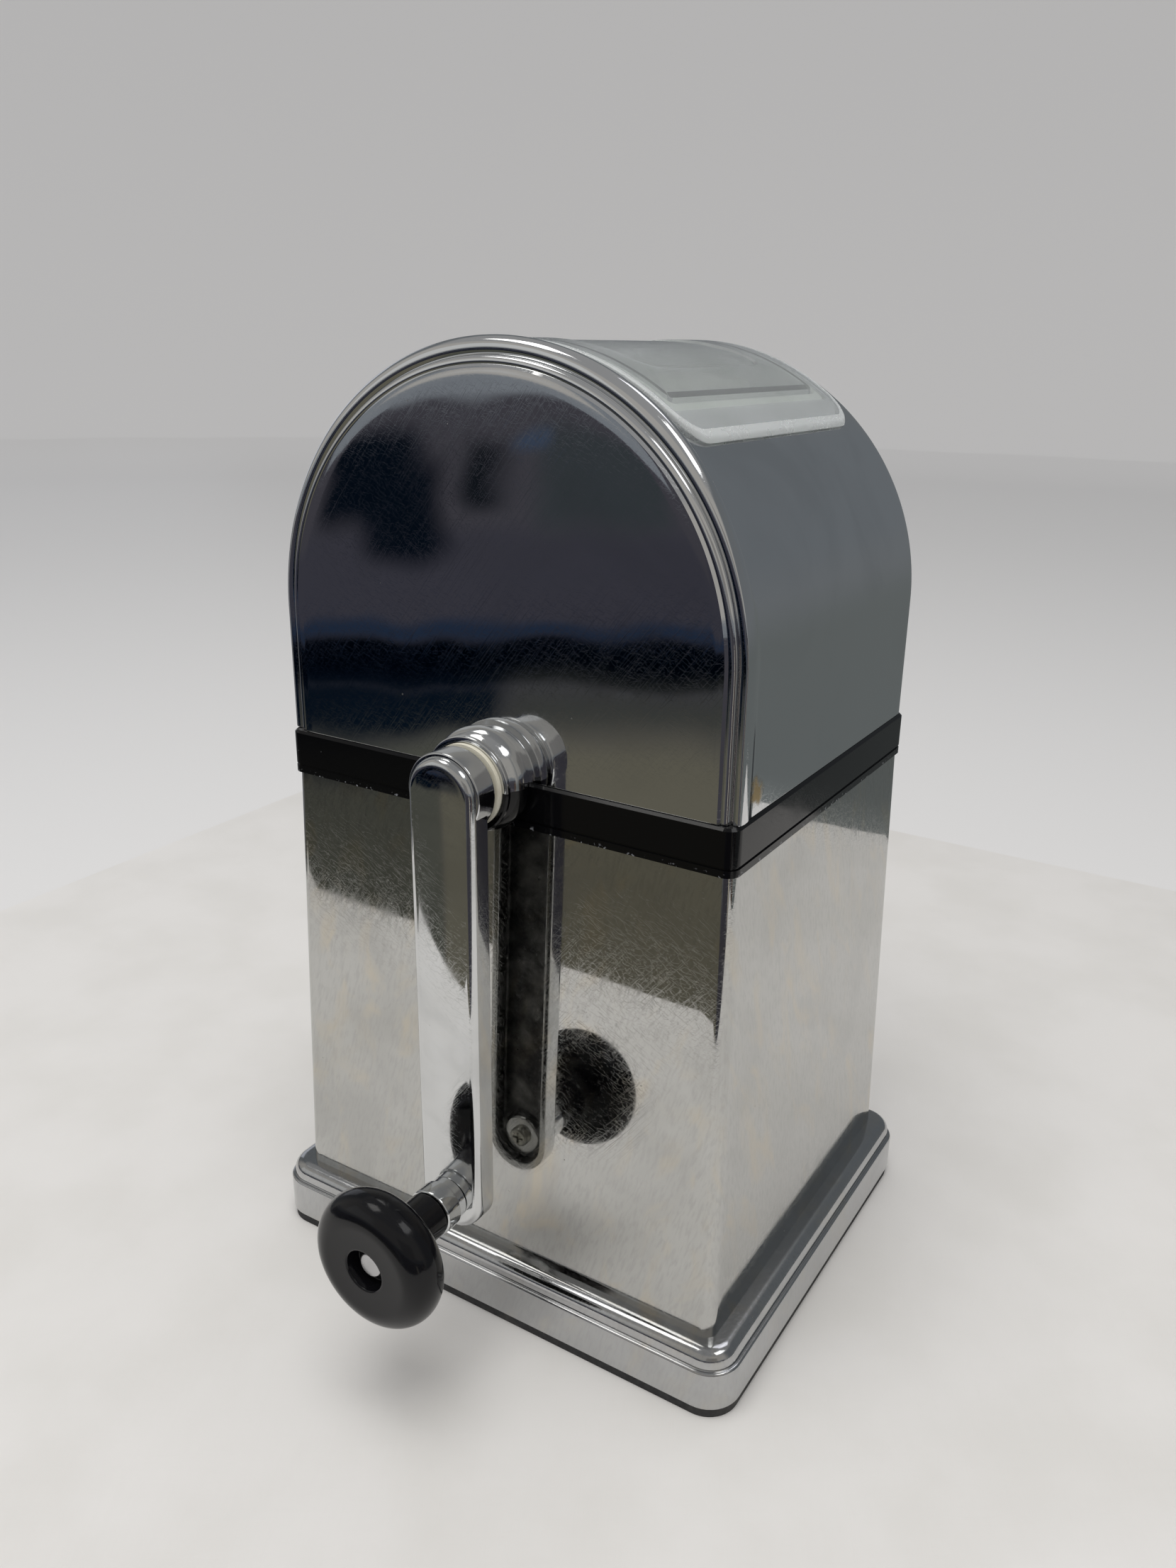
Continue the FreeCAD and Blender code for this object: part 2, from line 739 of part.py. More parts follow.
# Crank
def crank_shaft():
    tenon_front = arm_back - tenon_depth
    shoulder = spacer_front
    back_end = rear_bearing_back - bush_gap
    return joined(
        square_bar(shaft_square, tenon_front, arm_back),
        rod(shaft_radius, arm_back, shoulder, axis_z),
        square_bar(shaft_square, shoulder, spacer_back),
        rod(rear_journal_radius, spacer_back, back_end, axis_z),
    )


def breaker_blade(index):
    """Star of pointed arms on a square hole, each blade turned a quarter further on the shaft."""
    middle = blade_places()[index]
    front = middle - blade_thickness / 2
    half_root = blade_root_width / 2
    half_tip = blade_tip_width / 2
    arm_points = [
        (0.0, -half_root),
        (blade_shoulder, -half_root),
        (blade_reach - blade_tip_slant, -half_tip),
        (blade_reach - blade_tip_slant / 2, half_tip),
        (blade_shoulder, half_root),
        (0.0, half_root),
    ]
    arms = []
    for arm in range(blade_arms):
        wire = outline(arm_points, lambda p: vec(p[0], front, axis_z + p[1]))
        solid = Part.Face(wire).extrude(vec(0, blade_thickness, 0))
        turn = arm * 360 / blade_arms + index * blade_turn
        solid.rotate(vec(0, 0, axis_z), vec(0, 1, 0), turn)
        arms.append(solid)
    hub = rod(blade_hub_radius, front, front + blade_thickness, axis_z)
    hole = square_bar(shaft_square + 2 * square_fit, front, front + blade_thickness)
    return joined(hub, *arms).cut(hole)


def blade_spacer(y_low, y_high):
    hole = square_bar(shaft_square + 2 * square_fit, y_low, y_high)
    return rod(spacer_radius, y_low, y_high, axis_z).cut(hole)


def spacer_spans():
    """Start and end of each spacer: before, between and behind the blades."""
    places = blade_places()
    starts = [spacer_front] + [y + blade_thickness / 2 for y in places]
    ends = [y - blade_thickness / 2 for y in places] + [spacer_back]
    return list(zip(starts, ends))


def rear_sleeve():
    bore = rod(rear_journal_radius + square_fit, spacer_back, chute_outer, axis_z)
    return rod(shaft_radius, spacer_back, chute_outer, axis_z).cut(bore)


def shaft_clip(front, journal_radius):
    """Snap ring on the shaft, open at its underside."""
    ring = rod(clip_radius, front, front + clip_thickness, axis_z)
    bore = rod(journal_radius + square_fit, front, front + clip_thickness, axis_z)
    mouth = box(-clip_opening / 2, clip_opening / 2, front, front + clip_thickness,
                axis_z - clip_radius, axis_z)
    return ring.cut([bore, mouth])


def arm_outline(half_width, y):
    """Straight sides with a full round at the shaft and at the knob."""
    return outline([
        (half_width, axis_z),
        ((0.0, axis_z + half_width), (-half_width, axis_z)),
        (-half_width, knob_z),
        ((0.0, knob_z - half_width), (half_width, knob_z)),
    ], lambda p: vec(p[0], y, p[1]))


def crank_arm():
    half = arm_width / 2
    bar = Part.Face(arm_outline(half, arm_front)).extrude(vec(0, arm_depth, 0))
    bar = bar.makeFillet(arm_front_round, facing_edges(bar, arm_front))
    channel = Part.Face(arm_outline(half - arm_wall, web_back)).extrude(vec(0, arm_depth, 0))
    hub = rod(hub_radius, web_back, hub_back, axis_z)
    hub = hub.makeFillet(hub_round, facing_edges(hub, hub_back))
    boss = rod(pin_boss_radius, web_back, web_back + pin_boss_height, knob_z)
    arm = joined(bar.cut(channel), hub, boss)
    pin_hole = rod(pin_radius + square_fit, arm_front, arm_front + pin_seat_depth, knob_z)
    screw_hole = rod(screw_radius + screw_clearance / 2, arm_front, web_back + pin_boss_height, knob_z)
    tenon_hole = square_bar(shaft_square + 2 * square_fit, arm_back - tenon_depth, arm_back)
    shaft_hole = rod(shaft_radius + square_fit, arm_back, hub_back, axis_z)
    return arm.cut([pin_hole, screw_hole, tenon_hole, shaft_hole])


def knob_ferrule():
    step_y = arm_front - ferrule_shoulder
    points = [
        (arm_front, pin_radius + square_fit),
        (arm_front, ferrule_shoulder_radius),
        (step_y, ferrule_shoulder_radius),
        (step_y - ferrule_round, ferrule_radius),
        (ferrule_front + ferrule_round, ferrule_radius),
        (ferrule_front, ferrule_radius - ferrule_round),
        (ferrule_front, pin_radius + square_fit),
    ]
    return turned(points, knob_z)


def knob_pin():
    floor = knob_front + recess_depth
    head_back = floor - pin_end_gap
    head_front = head_back - pin_head_height
    shank = rod(pin_radius, head_back, arm_front + pin_seat_depth, knob_z)
    head = rod(pin_head_radius, head_front, head_back, knob_z)
    head = head.makeFillet(ferrule_round, facing_edges(head, head_front))
    thread = rod(screw_radius + screw_fit, ferrule_front, arm_front + pin_seat_depth, knob_z)
    return joined(head, shank).cut(thread)


def knob_pin_screw():
    length = web_back + pin_boss_height - ferrule_front - screw_clearance
    solid = screw(0, 0, 0, length)
    solid.rotate(vec(0, 0, 0), vec(1, 0, 0), -90)
    solid.translate(vec(0, web_back + pin_boss_height, knob_z))
    return solid


def grip_knob():
    floor = knob_front + recess_depth
    bore = pin_radius + pin_clearance
    middle = disc_back - knob_edge_round
    rim = knob_radius - knob_edge_round
    lean = knob_edge_round * math.sqrt(0.5)
    points = [
        (knob_back, bore),
        (knob_back, knob_neck_radius),
        (disc_back + knob_flare, knob_neck_radius),
        (disc_back, knob_neck_radius + knob_flare),
        (disc_back, rim),
        ((middle + lean, rim + lean), (middle, knob_radius)),
        ((middle - lean, rim + lean), (knob_front, rim)),
        (knob_front, recess_radius),
        (floor, recess_radius),
        (floor, bore),
    ]
    return turned(points, knob_z)


os.makedirs("parts", exist_ok=True)
write("base_pad", base_pad())
write("base_moulding", base_moulding())
write("lower_body", lower_body())
write("body_screws", body_screws())
write("ice_bin", ice_bin())
write("band_frame", band_frame())
write("dome_shell", dome_shell())
write("dome_screws", dome_screws())
write("hopper_insert", hopper_insert())
write("hopper_screws", hopper_screws())
write("coarse_comb", comb(-1, coarse_tip, coarse_side_gap))
write("fine_comb", comb(1, fine_tip, fine_side_gap))
write("comb_screws", comb_screws())
write("front_bush", front_bush())
write("rear_bush", rear_bush())
write("bearing_cap", bearing_cap())
write("bearing_cap_screws", bearing_cap_screws())
write("lid", lid())
write("crank_shaft", crank_shaft())
for number in range(blade_count):
    write("breaker_blade_" + str(number + 1), breaker_blade(number))
for number, span in enumerate(spacer_spans()):
    write("blade_spacer_" + str(number + 1), blade_spacer(*span))
write("rear_sleeve", rear_sleeve())
write("front_clip", shaft_clip(clip_front, shaft_radius))
write("rear_clip", shaft_clip(chute_outer + clip_gap / 2, rear_journal_radius))
write("crank_arm", crank_arm())
write("knob_ferrule", knob_ferrule())
write("knob_pin", knob_pin())
write("knob_pin_screw", knob_pin_screw())
write("grip_knob", grip_knob())
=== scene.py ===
import bmesh
import bpy
import math
from mathutils import Matrix, Vector, noise


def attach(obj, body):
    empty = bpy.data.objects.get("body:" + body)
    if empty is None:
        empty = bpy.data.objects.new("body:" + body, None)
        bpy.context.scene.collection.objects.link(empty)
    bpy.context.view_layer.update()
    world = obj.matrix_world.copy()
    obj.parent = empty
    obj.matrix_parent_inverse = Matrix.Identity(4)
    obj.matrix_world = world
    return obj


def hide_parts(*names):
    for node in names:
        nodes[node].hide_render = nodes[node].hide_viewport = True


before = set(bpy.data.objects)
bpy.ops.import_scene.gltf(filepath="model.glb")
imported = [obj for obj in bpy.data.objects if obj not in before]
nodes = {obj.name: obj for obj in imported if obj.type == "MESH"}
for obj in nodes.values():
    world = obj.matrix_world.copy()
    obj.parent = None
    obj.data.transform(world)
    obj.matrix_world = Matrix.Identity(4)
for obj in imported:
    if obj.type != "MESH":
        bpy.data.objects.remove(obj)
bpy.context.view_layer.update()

# Hand crank ice crusher. Sizes in the dictionaries are millimetres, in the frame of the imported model.
milli = 0.001
axisHeight = 153.5   # crank shaft, and the parting line between dome and band
knobHeight = 44.9


# Mesh helpers

def addToScene(name, data):
    piece = bpy.data.objects.new(name, data)
    bpy.context.scene.collection.objects.link(piece)
    return piece


def makePiece(name, points, faces, marks=None, sharp=30.0):
    # Closed mesh in metres with outward faces. Edges over the sharp angle stay crisp.
    mesh = bpy.data.meshes.new(name)
    mesh.from_pydata([[c * milli for c in p] for p in points], [], faces)
    if marks:
        mesh.polygons.foreach_set("material_index", marks)
    shape = bmesh.new()
    shape.from_mesh(mesh)
    bmesh.ops.remove_doubles(shape, verts=shape.verts, dist=1e-6)
    bmesh.ops.recalc_face_normals(shape, faces=shape.faces)
    shape.to_mesh(mesh)
    shape.free()
    shadeByAngle(mesh, sharp)
    return addToScene(name, mesh)


def shadeByAngle(mesh, sharp):
    mesh.polygons.foreach_set("use_smooth", [True] * len(mesh.polygons))
    mesh.set_sharp_from_angle(angle=math.radians(sharp))


def keepResult(piece):
    # Turns the result of the piece's modifiers into its plain mesh.
    shape = piece.evaluated_get(bpy.context.evaluated_depsgraph_get())
    piece.data = bpy.data.meshes.new_from_object(shape)
    piece.modifiers.clear()


def loft(rings, closed=True, loop=False):
    # Quads between rings of equal length; loop also joins the last ring to the first.
    points = [p for ring in rings for p in ring]
    count = len(rings[0])
    faces = []
    for i in range(len(rings) if loop else len(rings) - 1):
        low = i * count
        high = (i + 1) % len(rings) * count
        for j in range(count if closed else count - 1):
            k = (j + 1) % count
            faces.append((low + j, low + k, high + k, high + j))
    return points, faces


def joinParts(parts):
    # One list of points, faces and material marks from several (points, faces, mark).
    points, faces, marks = [], [], []
    for partPoints, partFaces, mark in parts:
        shift = len(points)
        points += partPoints
        faces += [[k + shift for k in face] for face in partFaces]
        marks += [mark] * len(partFaces)
    return points, faces, marks


def arcPoints(centre, start, end, steps):
    # Points on the arc from one arm to another about the centre.
    turn = start.angle(end)
    points = []
    for k in range(steps + 1):
        share = k / steps
        p = centre + (start * math.sin((1 - share) * turn) + end * math.sin(share * turn)) / math.sin(turn)
        points.append((p.x, p.y))
    return points


def soften(corners, steps=6):
    # Section line through corners (u, v, cut): an arc replaces each corner from cut before it to cut after it.
    line = []
    for i, (u, v, cut) in enumerate(corners):
        here = Vector((u, v))
        if not cut:
            line.append((u, v))
            continue
        before = (Vector(corners[i - 1][:2]) - here).normalized()
        after = (Vector(corners[(i + 1) % len(corners)][:2]) - here).normalized()
        middle = (before + after).normalized()
        centre = here + middle * (cut / before.dot(middle))
        line += arcPoints(centre, here + before * cut - centre, here + after * cut - centre, steps)
    return line


def arcThrough(a, b, c, steps):
    # Points on the circle through a, b and c, from a to c.
    ax, ay, bx, by, cx, cy = *a, *b, *c
    d = 2 * (ax * (by - cy) + bx * (cy - ay) + cx * (ay - by))
    squareA, squareB, squareC = ax * ax + ay * ay, bx * bx + by * by, cx * cx + cy * cy
    centre = Vector(((squareA * (by - cy) + squareB * (cy - ay) + squareC * (ay - by)) / d,
                     (squareA * (cx - bx) + squareB * (ax - cx) + squareC * (bx - ax)) / d))
    return arcPoints(centre, Vector(a) - centre, Vector(c) - centre, steps)


def spread(low, high, steps):
    return [low + (high - low) * k / steps for k in range(steps + 1)]


def rectRing(halfX, halfY, corner, cornerSteps=10, sideSteps=28):
    # (point, outward normal) pairs round a rounded rectangle.
    ring = []
    signs = ((1, 1), (-1, 1), (-1, -1), (1, -1))
    for turn, (signX, signY) in enumerate(signs):
        middle = Vector((signX * (halfX - corner), signY * (halfY - corner)))
        for k in range(cornerSteps + 1):
            angle = math.radians(90 * (turn + k / cornerSteps))
            normal = Vector((math.cos(angle), math.sin(angle)))
            ring.append((middle + normal * corner, normal))
        nextX, nextY = signs[(turn + 1) % 4]
        start = ring[-1][0]
        end = Vector((nextX * (halfX - corner), nextY * (halfY - corner))) + normal * corner
        ring += [(start.lerp(end, k / sideSteps), normal) for k in range(1, sideSteps)]
    return ring


def circle(radius, y, height, count=96, sweep=360.0):
    # Ring about the Y line at a height. A sweep under 360 is an open ring over the line.
    steps = count if sweep == 360.0 else count + 1
    angles = [math.radians(sweep * k / count) for k in range(steps)]
    return [(radius * math.cos(a), y, height + radius * math.sin(a)) for a in angles]


def turned(section, height, count=96, loop=False):
    return loft([circle(r, y, height, count) for y, r in section], loop=loop)


def waved(point, normal, size, length):
    # A point of sheet metal moved inward along its normal by a slow uneven wave.
    place = Vector(point)
    return tuple(place + Vector(normal) * size * (noise.noise(place / length) - 1) / 2)


def dress(piece, body, slot, materials, *replaced):
    for material in materials:
        piece.data.materials.append(material)
    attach(piece, body)
    if replaced:
        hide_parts(*replaced)
    return piece


# Node helpers. Inputs are {name or number: socket or value}.

def isSocket(item):
    return isinstance(item, bpy.types.NodeSocket)


def feed(socket, source):
    if isSocket(source):
        socket.id_data.links.new(source, socket)
    else:
        socket.default_value = source


def addNode(tree, kind, inputs=None, **settings):
    node = tree.nodes.new(kind)
    for key, value in settings.items():
        setattr(node, key, value)
    for key, source in (inputs or {}).items():
        feed(node.inputs[key], source)
    return node


def joined(kind, inputs, output=0, **settings):
    # An output of a new node, in the tree that its first socket belongs to.
    tree = next(source.id_data for source in inputs.values() if isSocket(source))
    return addNode(tree, kind, inputs, **settings).outputs[output]


def maths(operation, a, b=0.0):
    return joined("ShaderNodeMath", {0: a, 1: b}, operation=operation)


def times(a, b):
    return maths("MULTIPLY", a, b)


def total(*sources):
    result = sources[0]
    for source in sources[1:]:
        result = maths("ADD", result, source)
    return result


def levels(source, low, high, toLow=0.0, toHigh=1.0):
    # Smooth step of a value from one range to another, held at its ends.
    inputs = dict(enumerate((source, low, high, toLow, toHigh)))
    return joined("ShaderNodeMapRange", inputs, interpolation_type="SMOOTHSTEP")


def mixed(share, a, b):
    inputs = {0: share, 6: a if isSocket(a) else (*a, 1.0), 7: b if isSocket(b) else (*b, 1.0)}
    return joined("ShaderNodeMix", inputs, 2, data_type="RGBA")


def placeOf(tree):
    found = [n for n in tree.nodes if n.type == "TEX_COORD"]
    return (found[0] if found else tree.nodes.new("ShaderNodeTexCoord")).outputs["Object"]


def stretched(tree, size, turn=(0, 0, 0)):
    # Object coordinates in units of size (metres along each axis), turned by degrees first.
    size = size if isinstance(size, tuple) else (size, size, size)
    return joined("ShaderNodeMapping", {"Vector": placeOf(tree), "Scale": size,
                                        "Rotation": [math.radians(a) for a in turn]}, vector_type="TEXTURE")


def grain(tree, size, detail=2.0, turn=(0, 0, 0), distortion=0.0):
    return joined("ShaderNodeTexNoise", {"Vector": stretched(tree, size, turn), "Scale": 1.0, "Detail": detail,
                                         "Distortion": distortion})


def lines(tree, size, turn, width, distortion=0.0):
    # Thin lines where a stretched noise crosses its middle value.
    across = maths("ABSOLUTE", maths("SUBTRACT", grain(tree, size, 1.0, turn, distortion), 0.5))
    return levels(across, 0.0, width, 1.0, 0.0)


def hairLines(tree, marks):
    return total(*[lines(tree, *mark) for mark in marks])


def specks(tree, size, radius, share):
    # Small round marks in some cells of a random pattern.
    node = addNode(tree, "ShaderNodeTexVoronoi", {"Vector": stretched(tree, size), "Scale": 1.0})
    pick = joined("ShaderNodeSeparateColor", {0: node.outputs["Color"]})
    near = levels(node.outputs["Distance"], radius * 0.5, radius, 1.0, 0.0)
    return times(near, maths("LESS_THAN", pick, share))


def bumped(height, strength, distance, under=None):
    inputs = {"Height": height, "Strength": strength, "Distance": distance}
    if under is not None:
        inputs["Normal"] = under
    return joined("ShaderNodeBump", inputs)


def newMaterial(name, **constants):
    material = bpy.data.materials.new(name)
    material.use_nodes = True
    tree = material.node_tree
    shader = tree.nodes["Principled BSDF"]
    for key, value in constants.items():
        shader.inputs[key.replace("_", " ")].default_value = value
    return material, tree, shader


def wire(shader, colour, rough, normal):
    for label, source in (("Base Color", colour), ("Roughness", rough), ("Normal", normal)):
        feed(shader.inputs[label], source)


# Chrome plate with haze, wipe and brush marks, stains, hair lines and dust. How strong they are is set for each
# piece; their sizes (metres), turns (degrees) and spans of noise are shared.
chromeLooks = {
    "chromeDome": {"colour": (0.76, 0.77, 0.78), "rough": 0.02, "haze": 0.03, "hazeSize": 0.04, "wipe": 0.015,
                   "hair": 0.18, "peel": 0.12, "dust": 0.4, "brush": 0.0, "stain": 0.0},
    # The body's and base's plate colours are darker than the dome's: partly haze and dirt, partly painted shade for the
    # shaded table their fronts reflect.
    "chromeBody": {"colour": (0.545, 0.545, 0.53), "rough": 0.02, "haze": 0.03, "hazeSize": 0.03, "wipe": 0.05,
                   "hair": 0.40, "peel": 0.3, "dust": 0.6, "brush": 0.045, "stain": 0.26},
    "chromeBase": {"colour": (0.52, 0.525, 0.53), "rough": 0.05, "haze": 0.08, "hazeSize": 0.02, "wipe": 0.05,
                   "hair": 0.4, "peel": 0.5, "dust": 0.6, "brush": 0.03, "stain": 0.10},
    "chromeCrank": {"colour": (0.67, 0.68, 0.685), "rough": 0.035, "haze": 0.05, "hazeSize": 0.015, "wipe": 0.04,
                    "hair": 0.35, "peel": 0.5, "dust": 0.4, "brush": 0.0, "stain": 0.0},
}
chromeMarks = {
    "hazeSpan": (0.42, 0.72), "hazeDull": 0.5, "dullShare": 0.80,
    "wipeSize": (0.006, 0.006, 0.09), "wipeTurn": (12, 24, 0), "wipeSpan": (0.45, 0.75),
    "brushSize": (0.0008, 0.0008, 0.035), "brushTurn": (10, 16, 0), "brushSpan": (0.42, 0.72), "brushDull": 12,
    "stainSize": (0.010, 0.010, 0.070), "stainTurn": (24, 18, 0), "stainSpan": (0.48, 0.78), "stainShare": 3,
    "stainColour": (0.60, 0.55, 0.46), "hairDepth": 0.000004, "sheetSize": 0.018, "sheetDepth": 0.00003,
    "dustCell": 0.0055, "dustRadius": 0.05, "dustShare": 0.22, "dustRough": 0.35, "dustColour": (0.42, 0.41, 0.38),
    "hairs": (((0.0009, 0.0009, 0.060), (0, 38, 0), 0.012, 0.5), ((0.0011, 0.0011, 0.045), (14, -62, 0), 0.010, 0.8),
              ((0.0016, 0.0016, 0.030), (-35, 84, 20), 0.008, 0.5)),
}


def chrome(name, look):
    m = chromeMarks
    material, tree, shader = newMaterial(name, Metallic=1.0)
    haze = levels(grain(tree, look["hazeSize"], 5.0, distortion=0.7), *m["hazeSpan"])
    wipe = levels(grain(tree, m["wipeSize"], 3.0, m["wipeTurn"], 0.4), *m["wipeSpan"])
    brush = levels(grain(tree, m["brushSize"], 3.0, m["brushTurn"], 0.3), *m["brushSpan"])
    dust = specks(tree, m["dustCell"], m["dustRadius"], m["dustShare"])
    rough = total(look["rough"], times(brush, look["brush"]), times(haze, look["haze"]), times(wipe, look["wipe"]),
                  times(dust, m["dustRough"]))
    dull = tuple(m["dullShare"] * c for c in look["colour"])
    colour = mixed(times(haze, m["hazeDull"]), look["colour"], dull)
    colour = mixed(times(brush, look["brush"] * m["brushDull"]), colour, dull)
    if look["stain"]:
        streak = levels(grain(tree, m["stainSize"], 3.0, m["stainTurn"], 1.2), *m["stainSpan"])
        colour = mixed(times(streak, look["stain"] * m["stainShare"]), colour, m["stainColour"])
    colour = mixed(times(dust, look["dust"]), colour, m["dustColour"])
    if name == "chromeDome":
        rough, colour = wornSpot(tree, rough, colour)
    sheet = bumped(grain(tree, m["sheetSize"], 1.0), look["peel"], m["sheetDepth"])
    wire(shader, colour, rough, bumped(hairLines(tree, m["hairs"]), look["hair"], m["hairDepth"], sheet))
    return material


# Plating worn through to brass at the dome's lower front corner
wornSizes = {"place": (64.6, -44.6, 158.8), "core": 1.4, "edge": 4.4, "grain": 3.0, "uneven": 8.0, "rough": 0.25,
             "share": 0.9, "colour": (0.40, 0.27, 0.08)}


def wornSpot(tree, rough, colour):
    s = wornSizes
    place = tuple(c * milli for c in s["place"])
    gap = joined("ShaderNodeVectorMath", {0: placeOf(tree), 1: place}, "Value", operation="DISTANCE")
    uneven = times(maths("SUBTRACT", grain(tree, s["grain"] * milli, 4.0), 0.5), s["uneven"] * milli)
    spot = levels(total(gap, uneven), s["core"] * milli, s["edge"] * milli, 1.0, 0.0)
    return total(rough, times(spot, s["rough"])), mixed(times(spot, s["share"]), colour, s["colour"])


materials = {name: chrome(name, look) for name, look in chromeLooks.items()}

# Rough cast inside of the crank arm's channel
channelLook = {"dark": (0.06, 0.06, 0.063), "light": (0.26, 0.26, 0.26), "patch": 0.007, "patchSpan": (0.35, 0.7),
               "grain": 0.0016, "grainSpan": (0.3, 0.7), "rough": 0.42, "roughSpread": 0.15,
               "bump": 0.6, "depth": 0.0003}


def castMetal(look):
    material, tree, shader = newMaterial("castChannel", Metallic=1.0)
    field = grain(tree, look["grain"], 5.0)
    colour = mixed(levels(grain(tree, look["patch"], 4.0), *look["patchSpan"]), look["dark"], look["light"])
    ends = (look["rough"] - look["roughSpread"], look["rough"] + look["roughSpread"])
    wire(shader, colour, levels(field, *look["grainSpan"], *ends), bumped(field, look["bump"], look["depth"]))
    return material


materials["castChannel"] = castMetal(channelLook)

# Black gloss plastic: fine rub marks, dust, and paler chips along the band's lower edge
plasticLooks = {
    "blackKnob": {"colour": (0.005, 0.005, 0.006), "rough": 0.09, "haze": 0.06, "hair": 0.30, "ior": 1.36,
                  "chips": None},
    "blackBand": {"colour": (0.0020, 0.0020, 0.0024), "rough": 0.07, "haze": 0.07, "hair": 0.25, "ior": 1.36,
                  "chips": (142.0, 143.2)},
}
plasticMarks = {
    "hazeSize": 0.012, "hazeSpan": (0.42, 0.72), "dustCell": 0.0042, "dustRadius": 0.06, "dustShare": 0.25,
    "dustMark": 0.5, "chipSize": 0.0011, "chipSpan": (0.60, 0.68), "markShare": 0.7, "markRough": 0.3,
    "markColour": (0.34, 0.35, 0.37), "hairDepth": 0.000005,
    "hairs": (((0.0009, 0.0009, 0.020), (0, 52, 10), 0.014, 0.8), ((0.0010, 0.0010, 0.015), (40, -30, 0), 0.012, 0.8)),
}


def glossPlastic(name, look):
    m = plasticMarks
    material, tree, shader = newMaterial(name, IOR=look["ior"])
    haze = levels(grain(tree, m["hazeSize"], 5.0, distortion=0.5), *m["hazeSpan"])
    mark = times(specks(tree, m["dustCell"], m["dustRadius"], m["dustShare"]), m["dustMark"])
    if look["chips"]:
        height = joined("ShaderNodeSeparateXYZ", {0: placeOf(tree)}, 2)
        edge = levels(height, *[z * milli for z in look["chips"]], 1.0, 0.0)
        chip = levels(grain(tree, m["chipSize"], 4.0), *m["chipSpan"])
        mark = maths("MAXIMUM", mark, times(edge, chip))
    colour = mixed(times(mark, m["markShare"]), look["colour"], m["markColour"])
    rough = total(look["rough"], times(haze, look["haze"]), times(mark, m["markRough"]))
    wire(shader, colour, rough, bumped(hairLines(tree, m["hairs"]), look["hair"], m["hairDepth"]))
    return material


for name, look in plasticLooks.items():
    materials[name] = glossPlastic(name, look)

# Plain finishes: base colour and its worn tone, grain size along each axis, roughness from smooth to worn
plainLooks = {
    "creamNylon": {"colours": ((0.79, 0.76, 0.64), (0.66, 0.62, 0.50)), "grain": 0.004, "rough": (0.34, 0.50),
                   "bump": 0.00006, "metal": 0.0},
    "milkyHopper": {"colours": ((0.78, 0.81, 0.74), (0.70, 0.73, 0.66)), "grain": 0.012, "rough": (0.26, 0.42),
                    "bump": 0.00004, "metal": 0.0},
    "groundSteel": {"colours": ((0.60, 0.60, 0.60), (0.44, 0.44, 0.45)), "grain": (0.02, 0.0006, 0.0006),
                    "rough": (0.24, 0.42), "bump": 0.00001, "metal": 1.0},
    "turnedSteel": {"colours": ((0.62, 0.62, 0.63), (0.48, 0.48, 0.49)), "grain": (0.02, 0.0005, 0.02),
                    "rough": (0.18, 0.34), "bump": 0.00001, "metal": 1.0},
    "zincSteel": {"colours": ((0.66, 0.66, 0.62), (0.50, 0.49, 0.42)), "grain": 0.0018, "rough": (0.26, 0.46),
                  "bump": 0.00002, "metal": 1.0},
    "padRubber": {"colours": ((0.022, 0.022, 0.023), (0.050, 0.048, 0.045)), "grain": 0.0014, "rough": (0.62, 0.82),
                  "bump": 0.00016, "metal": 0.0},
}
plainMarks = {"grainSpan": (0.3, 0.7), "wornSize": 0.014, "wornSpan": (0.42, 0.72), "bump": 0.5}


def plain(name, look):
    m = plainMarks
    material, tree, shader = newMaterial(name, Metallic=look["metal"])
    field = grain(tree, look["grain"], 4.0)
    worn = levels(grain(tree, m["wornSize"], 4.0, distortion=0.6), *m["wornSpan"])
    wire(shader, mixed(worn, *look["colours"]), levels(field, *m["grainSpan"], *look["rough"]),
           bumped(field, m["bump"], look["bump"]))
    return material


for name, look in plainLooks.items():
    materials[name] = plain(name, look)

# Clear and frosted plastics, and the lid's paler rim plastic, which is a painted highlight for the light its rounded
# edges refract
clearLooks = {
    "clearLid": {"colour": (0.94, 0.965, 0.96), "rough": (0.02, 0.09), "haze": 0.02, "transmission": 0.86,
                 "depth": 0.00003},
    # The rim's paler, rougher and less clear plastic is a painted highlight: it stands for the light its rounded edges
    # refract.
    "rimPaintedGlint": {"colour": (0.93, 0.95, 0.94), "rough": (0.26, 0.42), "haze": 0.01, "transmission": 0.60,
                   "depth": 0.00004},
    "frostedBin": {"colour": (0.86, 0.89, 0.87), "rough": (0.26, 0.40), "haze": 0.03, "transmission": 0.70,
                   "depth": 0.00003},
}
clearMarks = {"ior": 1.49, "hazeSpan": (0.40, 0.74), "hazeShare": 0.4, "hazeColour": (0.82, 0.86, 0.83),
              "hair": ((0.0008, 0.025, 0.0008), (0, 0, 34), 0.014, 0.8), "hairShare": 0.6, "sheetSize": 0.02,
              "bump": 0.5}


def clearPlastic(name, look):
    m = clearMarks
    material, tree, shader = newMaterial(name, IOR=m["ior"], Transmission_Weight=look["transmission"])
    haze = levels(grain(tree, look["haze"], 5.0, distortion=0.8), *m["hazeSpan"])
    scuff = maths("MAXIMUM", haze, times(lines(tree, *m["hair"]), m["hairShare"]))
    wire(shader, mixed(times(haze, m["hazeShare"]), look["colour"], m["hazeColour"]),
           levels(scuff, 0.0, 1.0, *look["rough"]), bumped(grain(tree, m["sheetSize"], 2.0), m["bump"], look["depth"]))
    return material


for name, look in clearLooks.items():
    materials[name] = clearPlastic(name, look)
print("materials made:", len(materials))


